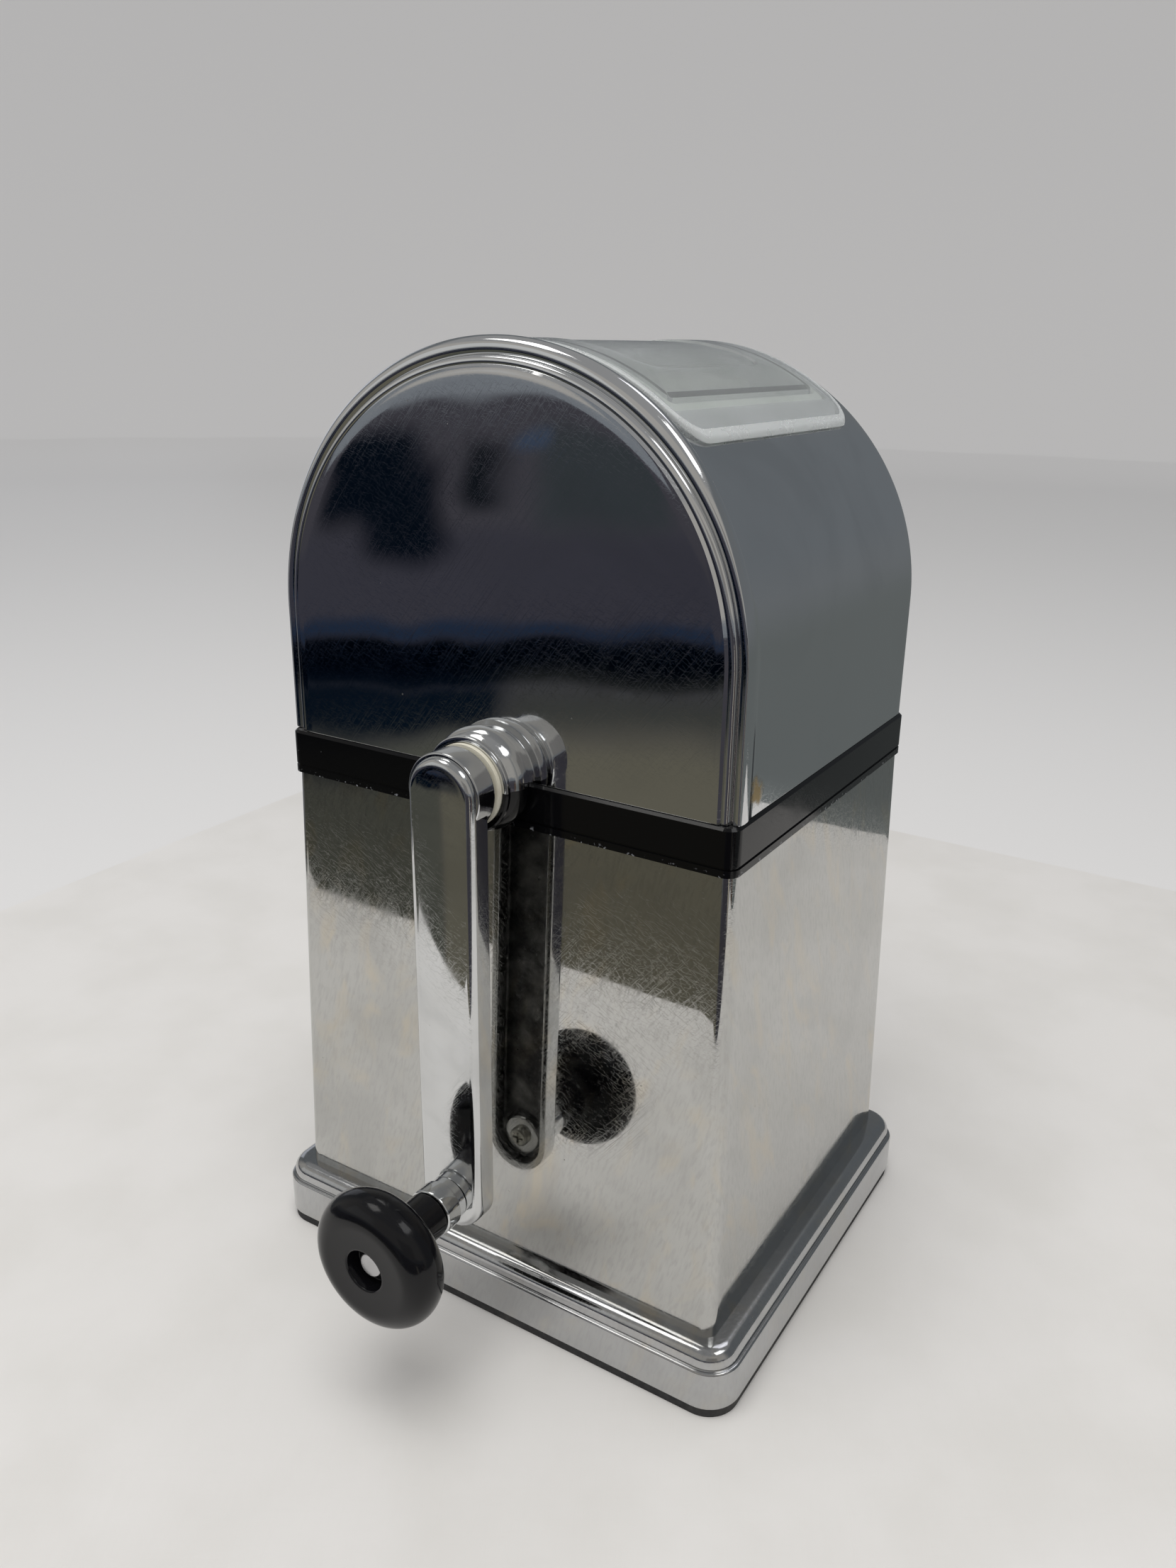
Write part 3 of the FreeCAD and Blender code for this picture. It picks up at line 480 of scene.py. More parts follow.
# Base moulding: a rounded step, a crease and a rounded bead under the body
baseSizes = {"length": 149.0, "depth": 126.2, "corner": 9.0, "low": 2.7, "step": 13.9, "deck": 18.7,
             "stepRound": 0.8, "beadInset": 1.1, "beadRound": 3.6, "crease": 0.4, "foot": 0.4, "wall": 2.4,
             "least": 0.3, "wave": 0.03, "waveLength": 22.0}


def levelRing(s, inset, z, wave=0.0):
    corner = max(s["corner"] - inset, s["least"])
    ring = rectRing(s["length"] / 2 - inset, s["depth"] / 2 - inset, corner)
    return [waved((*p, z), (*n, 0.0), wave, s["waveLength"]) for p, n in ring]


def baseMoulding():
    s = baseSizes
    wall = s["beadInset"] + s["wall"]
    middle = s["depth"] / 2 - s["least"]
    outer = soften([
        (wall, s["low"], 0), (0, s["low"], s["foot"]), (0, s["step"], s["stepRound"]),
        (s["beadInset"], s["step"], s["crease"] / 2), (s["beadInset"], s["deck"], s["beadRound"]),
        (3 * wall, s["deck"], 0), (middle, s["deck"], 0)], 10)
    under = [(middle, s["deck"] - s["wall"]), (wall, s["deck"] - s["wall"]), (wall, s["low"])]
    shell = joinParts([(*loft([levelRing(s, inset, z, s["wave"]) for inset, z in outer]), 0),
                       (*loft([levelRing(s, inset, z, s["wave"]) for inset, z in under]), 0)])
    return makePiece("baseMoulding", *shell)


dress(baseMoulding(), "base", "chrome_base", [materials["chromeBase"]], "base_moulding")

# Lower body: a tapered tube of thin sheet with an inward flange at its foot
bodySizes = {"lengthLow": 134.4, "depthLow": 113.6, "lengthTop": 129.4, "depthTop": 107.8, "low": 18.7, "top": 141.9,
             "corner": 3.2, "sheet": 1.0, "flange": 9.0, "rows": 64, "wave": 0.05, "waveLength": 26.0, "least": 0.4,
             "hold": 12.0, "holdTop": 0.2}


def bodyRing(s, inset, z):
    share = (z - s["low"]) / (s["top"] - s["low"])
    halfX = (s["lengthLow"] + (s["lengthTop"] - s["lengthLow"]) * share) / 2 - inset
    halfY = (s["depthLow"] + (s["depthTop"] - s["depthLow"]) * share) / 2 - inset
    ring = rectRing(halfX, halfY, max(s["corner"] - inset, s["least"]), 10, 40)
    # The ends are held straight.
    held = min(1.0, (z - s["low"]) / s["hold"], (s["top"] - z) / s["hold"] + s["holdTop"])
    return [waved((*p, z), (*n, 0.0), s["wave"] * max(held, 0.0), s["waveLength"]) for p, n in ring]


def lowerBody():
    s = bodySizes
    foot = s["low"] + s["sheet"]
    rows = [(0, z) for z in spread(s["low"], s["top"], s["rows"])]
    rows += [(s["sheet"], z) for z in spread(s["top"], foot, s["rows"] // 4)]
    rows += [(s["sheet"] + s["flange"], foot), (s["sheet"] + s["flange"], s["low"])]
    return makePiece("lowerBody", *loft([bodyRing(s, inset, z) for inset, z in rows], loop=True))


dress(lowerBody(), "base", "chrome_body", [materials["chromeBody"]], "lower_body")
print("base and body made")

# Dome: flat front plate, creased bead and rolled edge, swept over the arch, with the ice opening in the roof
domeSizes = {"length": 129.2, "depth": 108.0, "low": 153.5, "arch": 185.8, "wall": 2.0, "backRound": 3.0,
             "moulding": 4.5, "grooveBack": 0.8, "grooveOut": 0.6, "crownBack": 1.0, "crownOut": 2.0,
             "rollBack": 4.3, "roll": 2.6, "rollProud": 2.0, "rollStart": 215.0,
             "flatShare": 0.75, "flatFrom": 55.0, "flatTo": 12.0, "openingAngle": 52.5, "openingDepth": 83.6,
             "plateRows": 18, "leanRows": 6, "plateLean": 0.15, "leanFrom": 0.955,
             "angleStep": 1.5, "slack": 0.01, "footRound": 0.2, "footHold": 0.15, "wave": 0.055, "waveLength": 34.0}


def domeRows(s):
    # (y, distance from the arch's middle) of the outer skin, and of the inner skin behind it.
    front, back, radius, wall = -s["depth"] / 2, s["depth"] / 2, s["length"] / 2, s["wall"]
    edge = radius - s["moulding"]
    rows = []
    shares = spread(0.0, s["leanFrom"], s["plateRows"]) + spread(s["leanFrom"], 1.0, s["leanRows"])[1:]
    for share in shares:   # the plate leans back a little at its rim
        lean = s["plateLean"] * (max(0.0, share - s["leanFrom"]) / (1 - s["leanFrom"])) ** 2
        rows.append(((front + lean, edge * share), (front + wall, (edge - wall) * share)))
    middle = (s["rollBack"], s["moulding"] + s["rollProud"] - s["roll"])
    rollEnd = math.degrees(math.asin((s["moulding"] - middle[1]) / s["roll"]))
    angles = [math.radians(a) for a in spread(s["rollStart"], rollEnd, 22)]
    roll = [(middle[0] + s["roll"] * math.cos(a), middle[1] + s["roll"] * math.sin(a)) for a in angles]
    mould = arcThrough((s["grooveBack"], s["grooveOut"]), (s["crownBack"], s["crownOut"]), roll[0], 12)[:-1] + roll
    for k, (y, out) in enumerate(mould):
        share = (k + 1) / len(mould)
        inner = (front + wall + (s["rollBack"] - wall) * share, edge - wall + s["moulding"] * share)
        rows.append(((front + y, edge + out), inner))
    hole = s["openingDepth"] / 2
    roof = spread(front + roll[-1][0], -hole, 3)[1:] + spread(-hole, hole, 24)[1:]
    roof += spread(hole, back - s["backRound"], 3)[1:]
    rows += [((y, radius), (min(y, back - wall), radius - wall)) for y in roof]
    for a in [math.radians(a) for a in spread(90.0, 0.0, 8)][1:]:
        y = back - s["backRound"] * (1 - math.cos(a))
        out = radius - s["backRound"] * (1 - math.sin(a))
        rows.append(((y, out), (back - wall, min(out, radius - wall))))
    last = radius - s["backRound"]
    rows += [((back, last * share), (back - wall, last * share)) for share in spread(1.0, 0.0, 10)[1:]]
    return rows


def archPoint(s, y, out, station):
    side, value = station
    if out > s["length"] / 2 and side >= 0:   # the roll is pressed flatter down the right side
        angle = value if side == 0 else 0.0
        share = min(1.0, max(0.0, (s["flatFrom"] - angle) / (s["flatFrom"] - s["flatTo"])))
        out -= (out - s["length"] / 2) * s["flatShare"] * share * share * (3 - 2 * share)
    if side == 0:
        angle = math.radians(value)
        return out * math.cos(angle), y, s["arch"] + out * math.sin(angle)
    return side * out, y, value


def thickGrid(outer, inner, skip):
    # Two skins of the same grid, joined by walls along every open edge. skip(row, column) leaves a face out.
    count = len(outer[0])
    points = [p for row in outer for p in row] + [p for row in inner for p in row]
    shift = len(outer) * count
    keys = [tuple(round(c, 4) for c in p) for p in points[:shift]]
    skin = []
    for i in range(len(outer) - 1):
        for j in range(count - 1):
            if not skip(i, j):
                low = i * count + j
                skin.append((low, low + 1, low + count + 1, low + count))
    used = {}
    for face in skin:
        for a, b in zip(face, face[1:] + face[:1]):
            used.setdefault(frozenset((keys[a], keys[b])), []).append((a, b))
    walls = [(b, a, a + shift, b + shift) for pair, edges in used.items() if len(pair) == 2 and len(edges) == 1
             for a, b in edges]
    return points, skin + [[k + shift for k in reversed(face)] for face in skin] + walls


def domeShell():
    s = domeSizes
    rows = domeRows(s)
    foot = s["footRound"]
    levelsUp = [s["low"], s["low"] + 0.3 * foot, s["low"] + foot]
    levelsUp += spread(s["low"] + foot + s["footHold"], s["arch"], 10)
    stations = [(-1, z) for z in levelsUp[:-1]]
    stations += [(0, a) for a in spread(180.0, 0.0, round(180.0 / s["angleStep"]))]
    stations += [(1, z) for z in levelsUp[-2::-1]]
    inside = [station[0] == 0 and s["openingAngle"] < station[1] <= 180 - s["openingAngle"] for station in stations]
    hole = s["openingDepth"] / 2 - s["slack"]

    def skip(i, j):
        (y, out), nextY = rows[i][0], rows[i + 1][0][0]
        roof = out > s["length"] / 2 - s["slack"]
        return inside[j] and roof and y > -hole - 2 * s["slack"] and nextY < hole + 2 * s["slack"]

    outer = []
    inner = [[archPoint(s, *behind, station) for station in stations] for _, behind in rows]
    for i, ((y, out), behind) in enumerate(rows):
        onPlate = y < -s["depth"] / 2 + 1 and out < s["length"] / 2 - s["moulding"]
        flat = (0.0, -1.0 if onPlate else 0.0, 0.0)
        row = [Vector(waved(archPoint(s, y, out, station), flat, s["wave"], s["waveLength"])) for station in stations]
        for j, (side, z) in enumerate(stations):
            if side and z < s["low"] + foot:   # the lower edge is eased
                sink = foot - math.sqrt(max(0.0, foot * foot - (foot - z + s["low"]) ** 2))
                row[j] = row[j].lerp(Vector(inner[i][j]), sink / s["wall"])
        outer.append([tuple(p) for p in row])
    return makePiece("domeShell", *thickGrid(outer, inner, skip), sharp=38.0)


# Shaft collar on the dome's front: a neck, a ridge, a long bulge and a lip. The lower half belongs to the band.
collarSizes = {"root": -53.2, "front": -54.0, "bore": 10.4, "neck": 11.4, "ridge": 12.8, "groove": 11.0, "lip": 11.8,
               "neckReach": 1.8, "ridgeReach": 2.6, "bulgeStart": 3.2, "bulgeCrown": 5.4, "bulgeEnd": 7.4,
               "lipStart": 8.3, "reach": 9.5, "edge": 0.4, "soft": 0.3}


def collarUpper():
    s = collarSizes
    y = s["front"]
    section = [(s["root"], s["bore"]), (s["root"], s["neck"])]
    section += soften([(s["root"], s["neck"], 0), (y - s["neckReach"], s["neck"], s["soft"]),
                       (y - s["ridgeReach"], s["ridge"], s["soft"]), (y - s["bulgeStart"], s["ridge"], 0)], 4)[1:]
    section += arcThrough((y - s["bulgeStart"], s["ridge"]), (y - s["bulgeCrown"], s["ridge"] - s["edge"] / 2),
                          (y - s["bulgeEnd"], s["neck"]), 10)[1:]
    section += soften([(y - s["bulgeEnd"], s["neck"], 0), (y - s["lipStart"] + s["edge"], s["groove"], s["soft"] / 2),
                       (y - s["lipStart"], s["lip"], s["soft"] / 2), (y - s["reach"], s["lip"], s["edge"]),
                       (y - s["reach"], s["bore"], 0)], 4)[1:]
    rings = [circle(r, y, axisHeight, 64, 180.0) for y, r in section]
    points, faces = loft(rings, closed=False, loop=True)
    count = len(rings[0])
    faces.append([k * count for k in range(len(rings))])
    faces.append([k * count + count - 1 for k in reversed(range(len(rings)))])
    return makePiece("collarUpper", points, faces, sharp=38.0)


def cutRound(piece, radius, low, high):
    # Cuts a round hole about the crank shaft's line.
    points, faces = loft([circle(radius, y, axisHeight, 64) for y in (low, high)])
    cutter = makePiece("cutter", points, faces + [tuple(range(64)), tuple(range(127, 63, -1))])
    change = piece.modifiers.new("hole", "BOOLEAN")
    change.object = cutter
    change.solver = "EXACT"
    keepResult(piece)
    bpy.data.objects.remove(cutter)


dome = domeShell()
cutRound(dome, collarSizes["bore"], -domeSizes["depth"] / 2 - 1, -domeSizes["depth"] / 2 + 3)
shadeByAngle(dome.data, 38.0)
dress(dome, "head", "chrome_dome", [materials["chromeDome"]], "dome_shell")
dress(collarUpper(), "head", "chrome_dome", [materials["chromeCrank"]], "dome_shell")
print("dome and collar made")

# Clear lid: a thin curved plate with a paler rim (a painted highlight for the light its rounded edges refract), a
# slightly sunk middle panel, and a lip that drops into the opening
lidSizes = {"arch": 185.8, "seat": 64.9, "top": 66.1, "sink": 0.4, "wall": 1.6, "length": 93.2, "depth": 91.0,
            "corner": 8.0, "panelLength": 54.0, "panelDepth": 61.0, "panelCorner": 7.0, "lipLength": 73.0,
            "lipDepth": 78.0, "lipCorner": 2.0, "lipLow": 58.6, "edge": 0.45, "soft": 0.5, "least": 0.2}


def lidRing(s, halfX, halfY, corner, radius):
    ring = rectRing(halfX, halfY, corner, 8, 26)
    return [(p.x, p.y, s["arch"] + math.sqrt(radius * radius - p.x * p.x)) for p, n in ring]


def lidRings(s, plan, line):
    # Rings inset from a rounded rectangle (length, depth, corner), for a section line of (inset, radius).
    length, depth, corner = plan
    return [lidRing(s, length / 2 - inset, depth / 2 - inset, max(corner - inset, s["least"]), radius)
            for inset, radius in line]


def lidBlend(s, plan, other, radius, steps=8):
    # Rings from one rounded rectangle to another on one cylinder, without the two ends.
    shares = spread(0.0, 1.0, steps)[1:-1]
    plans = [[a + (b - a) * share for a, b in zip(plan, other)] for share in shares]
    return [lidRing(s, length / 2, depth / 2, corner, radius) for length, depth, corner in plans]


def clearLid():
    s = lidSizes
    edge, soft, wall, sunk = s["edge"], s["soft"], s["wall"], s["top"] - s["sink"]
    plate = (s["length"], s["depth"], s["corner"])
    panel = (s["panelLength"], s["panelDepth"], s["panelCorner"])
    lip = (s["lipLength"], s["lipDepth"], s["lipCorner"])
    halfPanel, halfLip = s["panelLength"] / 2, s["lipLength"] / 2
    rings = lidRings(s, plate, soften([(wall, s["seat"], 0), (0, s["seat"], edge), (0, s["top"], edge),
                                       (wall, s["top"], 0)]))
    rim = len(rings)
    rings += lidBlend(s, plate, panel, s["top"])
    rings += lidRings(s, panel, soften([(-soft, s["top"], 0), (0, s["top"], s["sink"] / 2), (soft, sunk, s["sink"] / 2),
                                        (2 * soft, sunk, 0)], 4))
    rings += lidRings(s, panel, [(inset, sunk) for inset in spread(2 * soft, halfPanel - s["least"], 12)[1:]])
    inner = lidRings(s, lip, [(inset, s["seat"]) for inset in spread(halfLip - s["least"], wall, 14)])
    under = (s["length"] - 2 * wall, s["depth"] - 2 * wall, s["corner"] - wall)
    inner += lidRings(s, lip, [(wall, s["lipLow"]), (0, s["lipLow"]), (0, s["seat"])])
    inner += lidBlend(s, lip, under, s["seat"]) + lidRings(s, under, [(0, s["seat"])])
    caps = [(ring, [list(range(len(ring)))], 0) for ring in (rings[-1], inner[0])]
    parts = [(*loft(rings[:rim]), 1), (*loft(rings[rim - 1:]), 0), (*loft(inner), 0), *caps]
    return makePiece("clearLid", *joinParts(parts))


dress(clearLid(), "lid", "clear_lid", [materials["clearLid"], materials["rimPaintedGlint"]], "lid")
print("lid made")

# Crank arm: a full-round bar, slightly crowned in front, hollow at its back, with the hub and the pin's boss
armSizes = {"half": 9.3, "front": -74.6, "back": -67.7, "crown": 0.35, "frontRound": 2.2, "wall": 1.9, "web": -72.3,
            "rimRound": 0.4, "webRound": 0.8, "rough": 0.16, "roughLength": 2.2, "hub": 10.2, "hubBack": -65.0,
            "hubRound": 1.6, "hubFoot": 0.5, "boss": 5.6, "bossBack": -70.1, "bossRound": 0.6,
            "bossSunk": 0.5, "bossBore": 1.6, "shaft": 5.0}


def stadium(radius, y, straight=44, bend=32):
    # Ring with straight sides, and half circles round the shaft and the knob.
    length = axisHeight - knobHeight

    def halfTurn(height, start):
        angles = spread(start, start + math.pi, bend)[:-1]
        return [(radius * math.cos(a), y, height + radius * math.sin(a)) for a in angles]

    ring = [(radius, y, knobHeight + length * k / straight) for k in range(straight)] + halfTurn(axisHeight, 0.0)
    ring += [(-radius, y, axisHeight - length * k / straight) for k in range(straight)]
    return ring + halfTurn(knobHeight, math.pi)


def castRing(s, radius, y):
    ring = []
    for p in stadium(radius, y):
        field = noise.noise(Vector((p[0], y, p[2])) / s["roughLength"]) * s["rough"]
        ring.append((p[0] * (1 + field / 30), y + field, p[2]))
    return ring


def crankArm():
    s = armSizes
    flatHalf = s["half"] - s["frontRound"]
    face = [(flatHalf * share, s["front"] + s["crown"] * share * share) for share in spread(0.0, 1.0, 10)]
    side = soften([(flatHalf, s["front"] + s["crown"], 0), (s["half"], s["front"] + s["crown"], s["frontRound"] - 0.1),
                   (s["half"], s["back"], s["rimRound"]), (s["half"] - s["wall"], s["back"], s["rimRound"]),
                   (s["half"] - s["wall"], s["back"] - 1.0, 0)], 10)[1:]
    plated = loft([stadium(r, y) for r, y in face + side])
    inner = s["half"] - s["wall"]
    channel = [(inner, y) for y in spread(s["back"] - 1.0, s["web"] + s["webRound"], 4)]
    channel += soften([(inner, s["web"] + s["webRound"], 0), (inner, s["web"], s["webRound"] * 0.9),
                       (inner - s["webRound"], s["web"], 0)], 4)[1:]
    channel += [(r, s["web"]) for r in spread(inner - s["webRound"], 0.0, 8)[1:]]
    cast = loft([stadium(*channel[0])] + [castRing(s, r, y) for r, y in channel[1:]])
    hub = turned(soften([(s["web"], s["shaft"], 0), (s["web"], s["hub"], s["hubFoot"]),
                         (s["hubBack"], s["hub"], s["hubRound"]), (s["hubBack"], s["shaft"], 0)], 8),
                 axisHeight, loop=True)
    foot = s["web"] - s["bossSunk"]
    boss = turned(soften([(foot, s["bossBore"], 0), (foot, s["boss"], 0), (s["bossBack"], s["boss"], s["bossRound"]),
                          (s["bossBack"], s["bossBore"], 0)], 5), knobHeight, loop=True)
    return makePiece("crankArm", *joinParts([(*plated, 0), (*cast, 1), (*hub, 0), (*boss, 0)]), sharp=40.0)


dress(crankArm(), "crank", "chrome_crank", [materials["chromeCrank"], materials["castChannel"]], "crank_arm")

# Ferrule between arm and knob
ferruleSizes = {"bore": 2.42, "front": -82.4, "back": -74.6, "shoulder": -77.4, "thin": 5.7, "thick": 6.3, "round": 0.6}


def ferrule():
    s = ferruleSizes
    section = soften([(s["back"], s["bore"], 0), (s["back"], s["thin"], 0.2), (s["shoulder"], s["thin"], 0.15),
                      (s["shoulder"], s["thick"], 0.25), (s["front"], s["thick"], s["round"]),
                      (s["front"], s["bore"], 0)], 6)
    return makePiece("knobFerrule", *turned(section, knobHeight, loop=True))


dress(ferrule(), "crank", "chrome_crank", [materials["chromeCrank"]], "knob_ferrule")

# Knob: a full-round disc on a short neck, with a recess for the pin's head
knobSizes = {"bore": 2.46, "back": -82.6, "disc": -95.0, "front": -107.0, "neck": 6.0, "flare": 1.6, "radius": 17.85,
             "edge": 6.0, "recess": 5.3, "floor": -102.4, "soft": 0.5, "dish": 0.25}


def gripKnob():
    s = knobSizes
    rim = s["radius"] - s["edge"]
    middle = s["disc"] - s["edge"]
    line = soften([(s["back"], s["bore"], 0), (s["back"], s["neck"], s["soft"]),
                   (s["disc"] + s["flare"], s["neck"], s["flare"] / 2),
                   (s["disc"], s["neck"] + s["flare"], s["flare"] / 2), (s["disc"], rim, 0)], 6)
    line += [(middle + s["edge"] * math.cos(a), rim + s["edge"] * math.sin(a)) for a in spread(0.0, math.pi, 28)][1:]
    line += [(s["front"] + s["dish"] * math.sin(math.pi * share / 2), rim + (s["recess"] - rim) * share)
             for share in spread(0.0, 1.0, 8)[1:-1]]
    line += soften([(s["front"] + s["dish"], s["recess"] + 1, 0), (s["front"] + s["dish"], s["recess"], s["soft"]),
                    (s["floor"], s["recess"], 0.3), (s["floor"], s["bore"], 0)], 5)[1:]
    return makePiece("gripKnob", *turned(line, knobHeight, loop=True), sharp=50.0)


dress(gripKnob(), "knob", "knob_plastic", [materials["blackKnob"]], "grip_knob")
print("crank and knob made")


# Geometry Nodes: repeated parts

def newTree(name, kinds):
    # A tree, its named inputs (given as {kind: labels}) and its output.
    tree = bpy.data.node_groups.new(name, "GeometryNodeTree")
    tree.interface.new_socket("Geometry", in_out="OUTPUT", socket_type="NodeSocketGeometry")
    for kind, labels in {"Geometry": ("Geometry",), **kinds}.items():
        for label in labels:
            tree.interface.new_socket(label, in_out="INPUT", socket_type="NodeSocket" + kind)
    return tree, tree.nodes.new("NodeGroupInput").outputs, tree.nodes.new("NodeGroupOutput").inputs[0]


def grown(piece, tree, values):
    # Runs the tree on the piece with its named inputs, and keeps the result as a plain mesh.
    change = piece.modifiers.new(tree.name, "NODES")
    change.node_group = tree
    for item in tree.interface.items_tree:
        if item.in_out == "INPUT" and item.name in values:
            change[item.identifier] = values[item.name]
    keepResult(piece)
    shadeByAngle(piece.data, 35.0)
    return piece


def vectorOf(x, y, z):
    return joined("ShaderNodeCombineXYZ", {0: x, 1: y, 2: z})


def joinAll(*sources):
    node = sources[0].id_data.nodes.new("GeometryNodeJoinGeometry")
    for source in sources:
        feed(node.inputs[0], source)
    return node.outputs[0]


def moved(shape, offset):
    return joined("GeometryNodeTransform", {"Geometry": shape, "Translation": offset})


def placeCopies(made, points, instance, turn, material):
    # The end of each tree: a copy on every point, made real, with its material.
    copies = joined("GeometryNodeInstanceOnPoints", {"Points": points, "Instance": instance, "Rotation": turn})
    real = joined("GeometryNodeRealizeInstances", {"Geometry": copies})
    feed(made, joined("GeometryNodeSetMaterial", {"Geometry": real, "Material": material}))


# Screws: the make of all heads, the usual sizes, and each set's own (spacing, seat, shank length, body it rides on)
screwShape = {"segments": 28, "rings": 14, "dome": 0.55, "slotReach": 1.2, "sides": 20, "sunk": -0.499,
              "weld": 0.000001, "pairWeld": 0.0001}
screwSizes = {"headRadius": 2.8, "headHeight": 1.8, "shank": 1.5, "slotWidth": 0.7, "slotDepth": 0.9, "down": False,
              "body": "head"}
screwSets = {
    "bodyScrews": {"spacing": (117.2, 96.4), "middle": (0, 0, 19.7), "length": 9.7, "body": "base",
                   "node": "body_screws"},
    "domeScrews": {"spacing": (113.0, 91.4), "middle": (0, 0, 142.0), "length": 19.5, "down": True,
                   "node": "dome_screws"},
    "hopperScrews": {"spacing": (44.0, 97.8), "middle": (0, 0, 157.1), "length": 10.7, "node": "hopper_screws"},
    "combScrews": {"spacing": (76.0, 60.0), "middle": (0, 0, 155.0), "length": 10.7, "node": "comb_screws"},
    "capScrews": {"spacing": (21.0, 0.0), "middle": (0, 49.9, 163.0), "length": 14.7, "node": "bearing_cap_screws",
                  "headRadius": 1.9, "shank": 1.1},
}
screwInputs = {"Head Radius": "headRadius", "Head Height": "headHeight", "Shank Radius": "shank",
               "Shank Length": "length", "Slot Width": "slotWidth", "Slot Depth": "slotDepth"}


def screwTree():
    s = screwShape
    tree, g, made = newTree("panHeadScrews", {"Float": ("Spacing X", "Spacing Y", *screwInputs),
                                              "Vector": ("Middle", "Turn"), "Material": ("Material",)})
    ball = addNode(tree, "GeometryNodeMeshUVSphere", {"Segments": s["segments"], "Rings": s["rings"], "Radius": 1.0})
    place = tree.nodes.new("GeometryNodeInputPosition").outputs[0]
    parts = addNode(tree, "ShaderNodeSeparateXYZ", {0: place}).outputs
    lifted = maths("POWER", maths("MAXIMUM", parts[2], 0.0), s["dome"])
    shaped = vectorOf(times(parts[0], g["Head Radius"]), times(parts[1], g["Head Radius"]),
                      times(lifted, g["Head Height"]))
    head = joined("GeometryNodeSetPosition", {"Geometry": ball.outputs["Mesh"], "Position": shaped})
    welded = joined("GeometryNodeMergeByDistance", {"Geometry": head, "Distance": s["weld"]})
    slotLength, deep = times(g["Head Radius"], s["slotReach"]), times(g["Slot Depth"], 2.0)
    bars = [vectorOf(slotLength, g["Slot Width"], deep), vectorOf(g["Slot Width"], slotLength, deep)]
    bars = [moved(joined("GeometryNodeMeshCube", {"Size": size}), vectorOf(0.0, 0.0, g["Head Height"]))
            for size in bars]
    cut = joined("GeometryNodeMeshBoolean", {0: welded, 1: joinAll(*bars), "Self Intersection": True},
                 operation="DIFFERENCE", solver="EXACT")
    shank = joined("GeometryNodeMeshCylinder", {"Vertices": s["sides"], "Radius": g["Shank Radius"],
                                                "Depth": g["Shank Length"]})
    lowered = moved(shank, vectorOf(0.0, 0.0, times(g["Shank Length"], s["sunk"])))
    grid = joined("GeometryNodeMeshGrid", {"Vertices X": 2, "Vertices Y": 2, "Size X": g["Spacing X"],
                                           "Size Y": g["Spacing Y"]})
    seats = joined("GeometryNodeMergeByDistance", {"Geometry": grid, "Distance": s["pairWeld"]})
    placeCopies(made, moved(seats, g["Middle"]), joinAll(cut, lowered), g["Turn"], g["Material"])
    return tree


screws = screwTree()
for name, chosen in screwSets.items():
    s = {**screwSizes, **chosen}
    values = {label: s[key] * milli for label, key in screwInputs.items()}
    values.update({"Spacing X": s["spacing"][0] * milli, "Spacing Y": s["spacing"][1] * milli,
                   "Middle": [c * milli for c in s["middle"]], "Turn": [math.pi if s["down"] else 0.0, 0.0, 0.0],
                   "Material": materials["zincSteel"]})
    piece = grown(addToScene(name, bpy.data.meshes.new(name)), screws, values)
    dress(piece, s["body"], "zinc_steel", [], s["node"])
print("screws made")


def repeatTree():
    tree, g, made = newTree("repeatAlong", {"Int": ("Count",), "Vector": ("Step", "Turn", "Middle"),
                                            "Material": ("Material",)})
    row = joined("GeometryNodeMeshLine", {"Count": g["Count"], "Offset": g["Step"], "Start Location": g["Middle"]},
                 mode="OFFSET")
    order = tree.nodes.new("GeometryNodeInputIndex").outputs[0]
    turn = joined("ShaderNodeVectorMath", {0: g["Turn"], "Scale": order}, operation="SCALE")
    placeCopies(made, row, g["Geometry"], turn, g["Material"])
    return tree


# Breaker blades: the frame's first blade with its edges eased, repeated along the shaft with a quarter turn each
bladeSizes = {"count": 5, "pitch": 15.0, "turn": 90.0, "first": -30.0, "ease": 0.3, "flat": 0.01}


def bladeCopy(s):
    mesh = nodes["breaker_blade_1"].data.copy()
    mesh.transform(Matrix.Translation((0, -s["first"] * milli, -axisHeight * milli)))
    shape = bmesh.new()
    shape.from_mesh(mesh)
    bmesh.ops.remove_doubles(shape, verts=shape.verts, dist=1e-6)
    bmesh.ops.dissolve_limit(shape, angle_limit=s["flat"], verts=shape.verts, edges=shape.edges)
    shape.to_mesh(mesh)
    shape.free()
    mesh.materials.clear()
    piece = addToScene("breakerBlades", mesh)
    ease = piece.modifiers.new("ease", "BEVEL")
    ease.width = s["ease"] * milli
    ease.segments = 2
    return piece


def breakerBlades():
    s = bladeSizes
    return grown(bladeCopy(s), repeatTree(), {
        "Count": s["count"], "Step": [0.0, s["pitch"] * milli, 0.0], "Turn": [0.0, math.radians(s["turn"]), 0.0],
        "Middle": [0.0, s["first"] * milli, axisHeight * milli], "Material": materials["groundSteel"]})


dress(breakerBlades(), "crank", "blade_steel", [], *[f"breaker_blade_{k + 1}" for k in range(bladeSizes["count"])])
print("blades made")

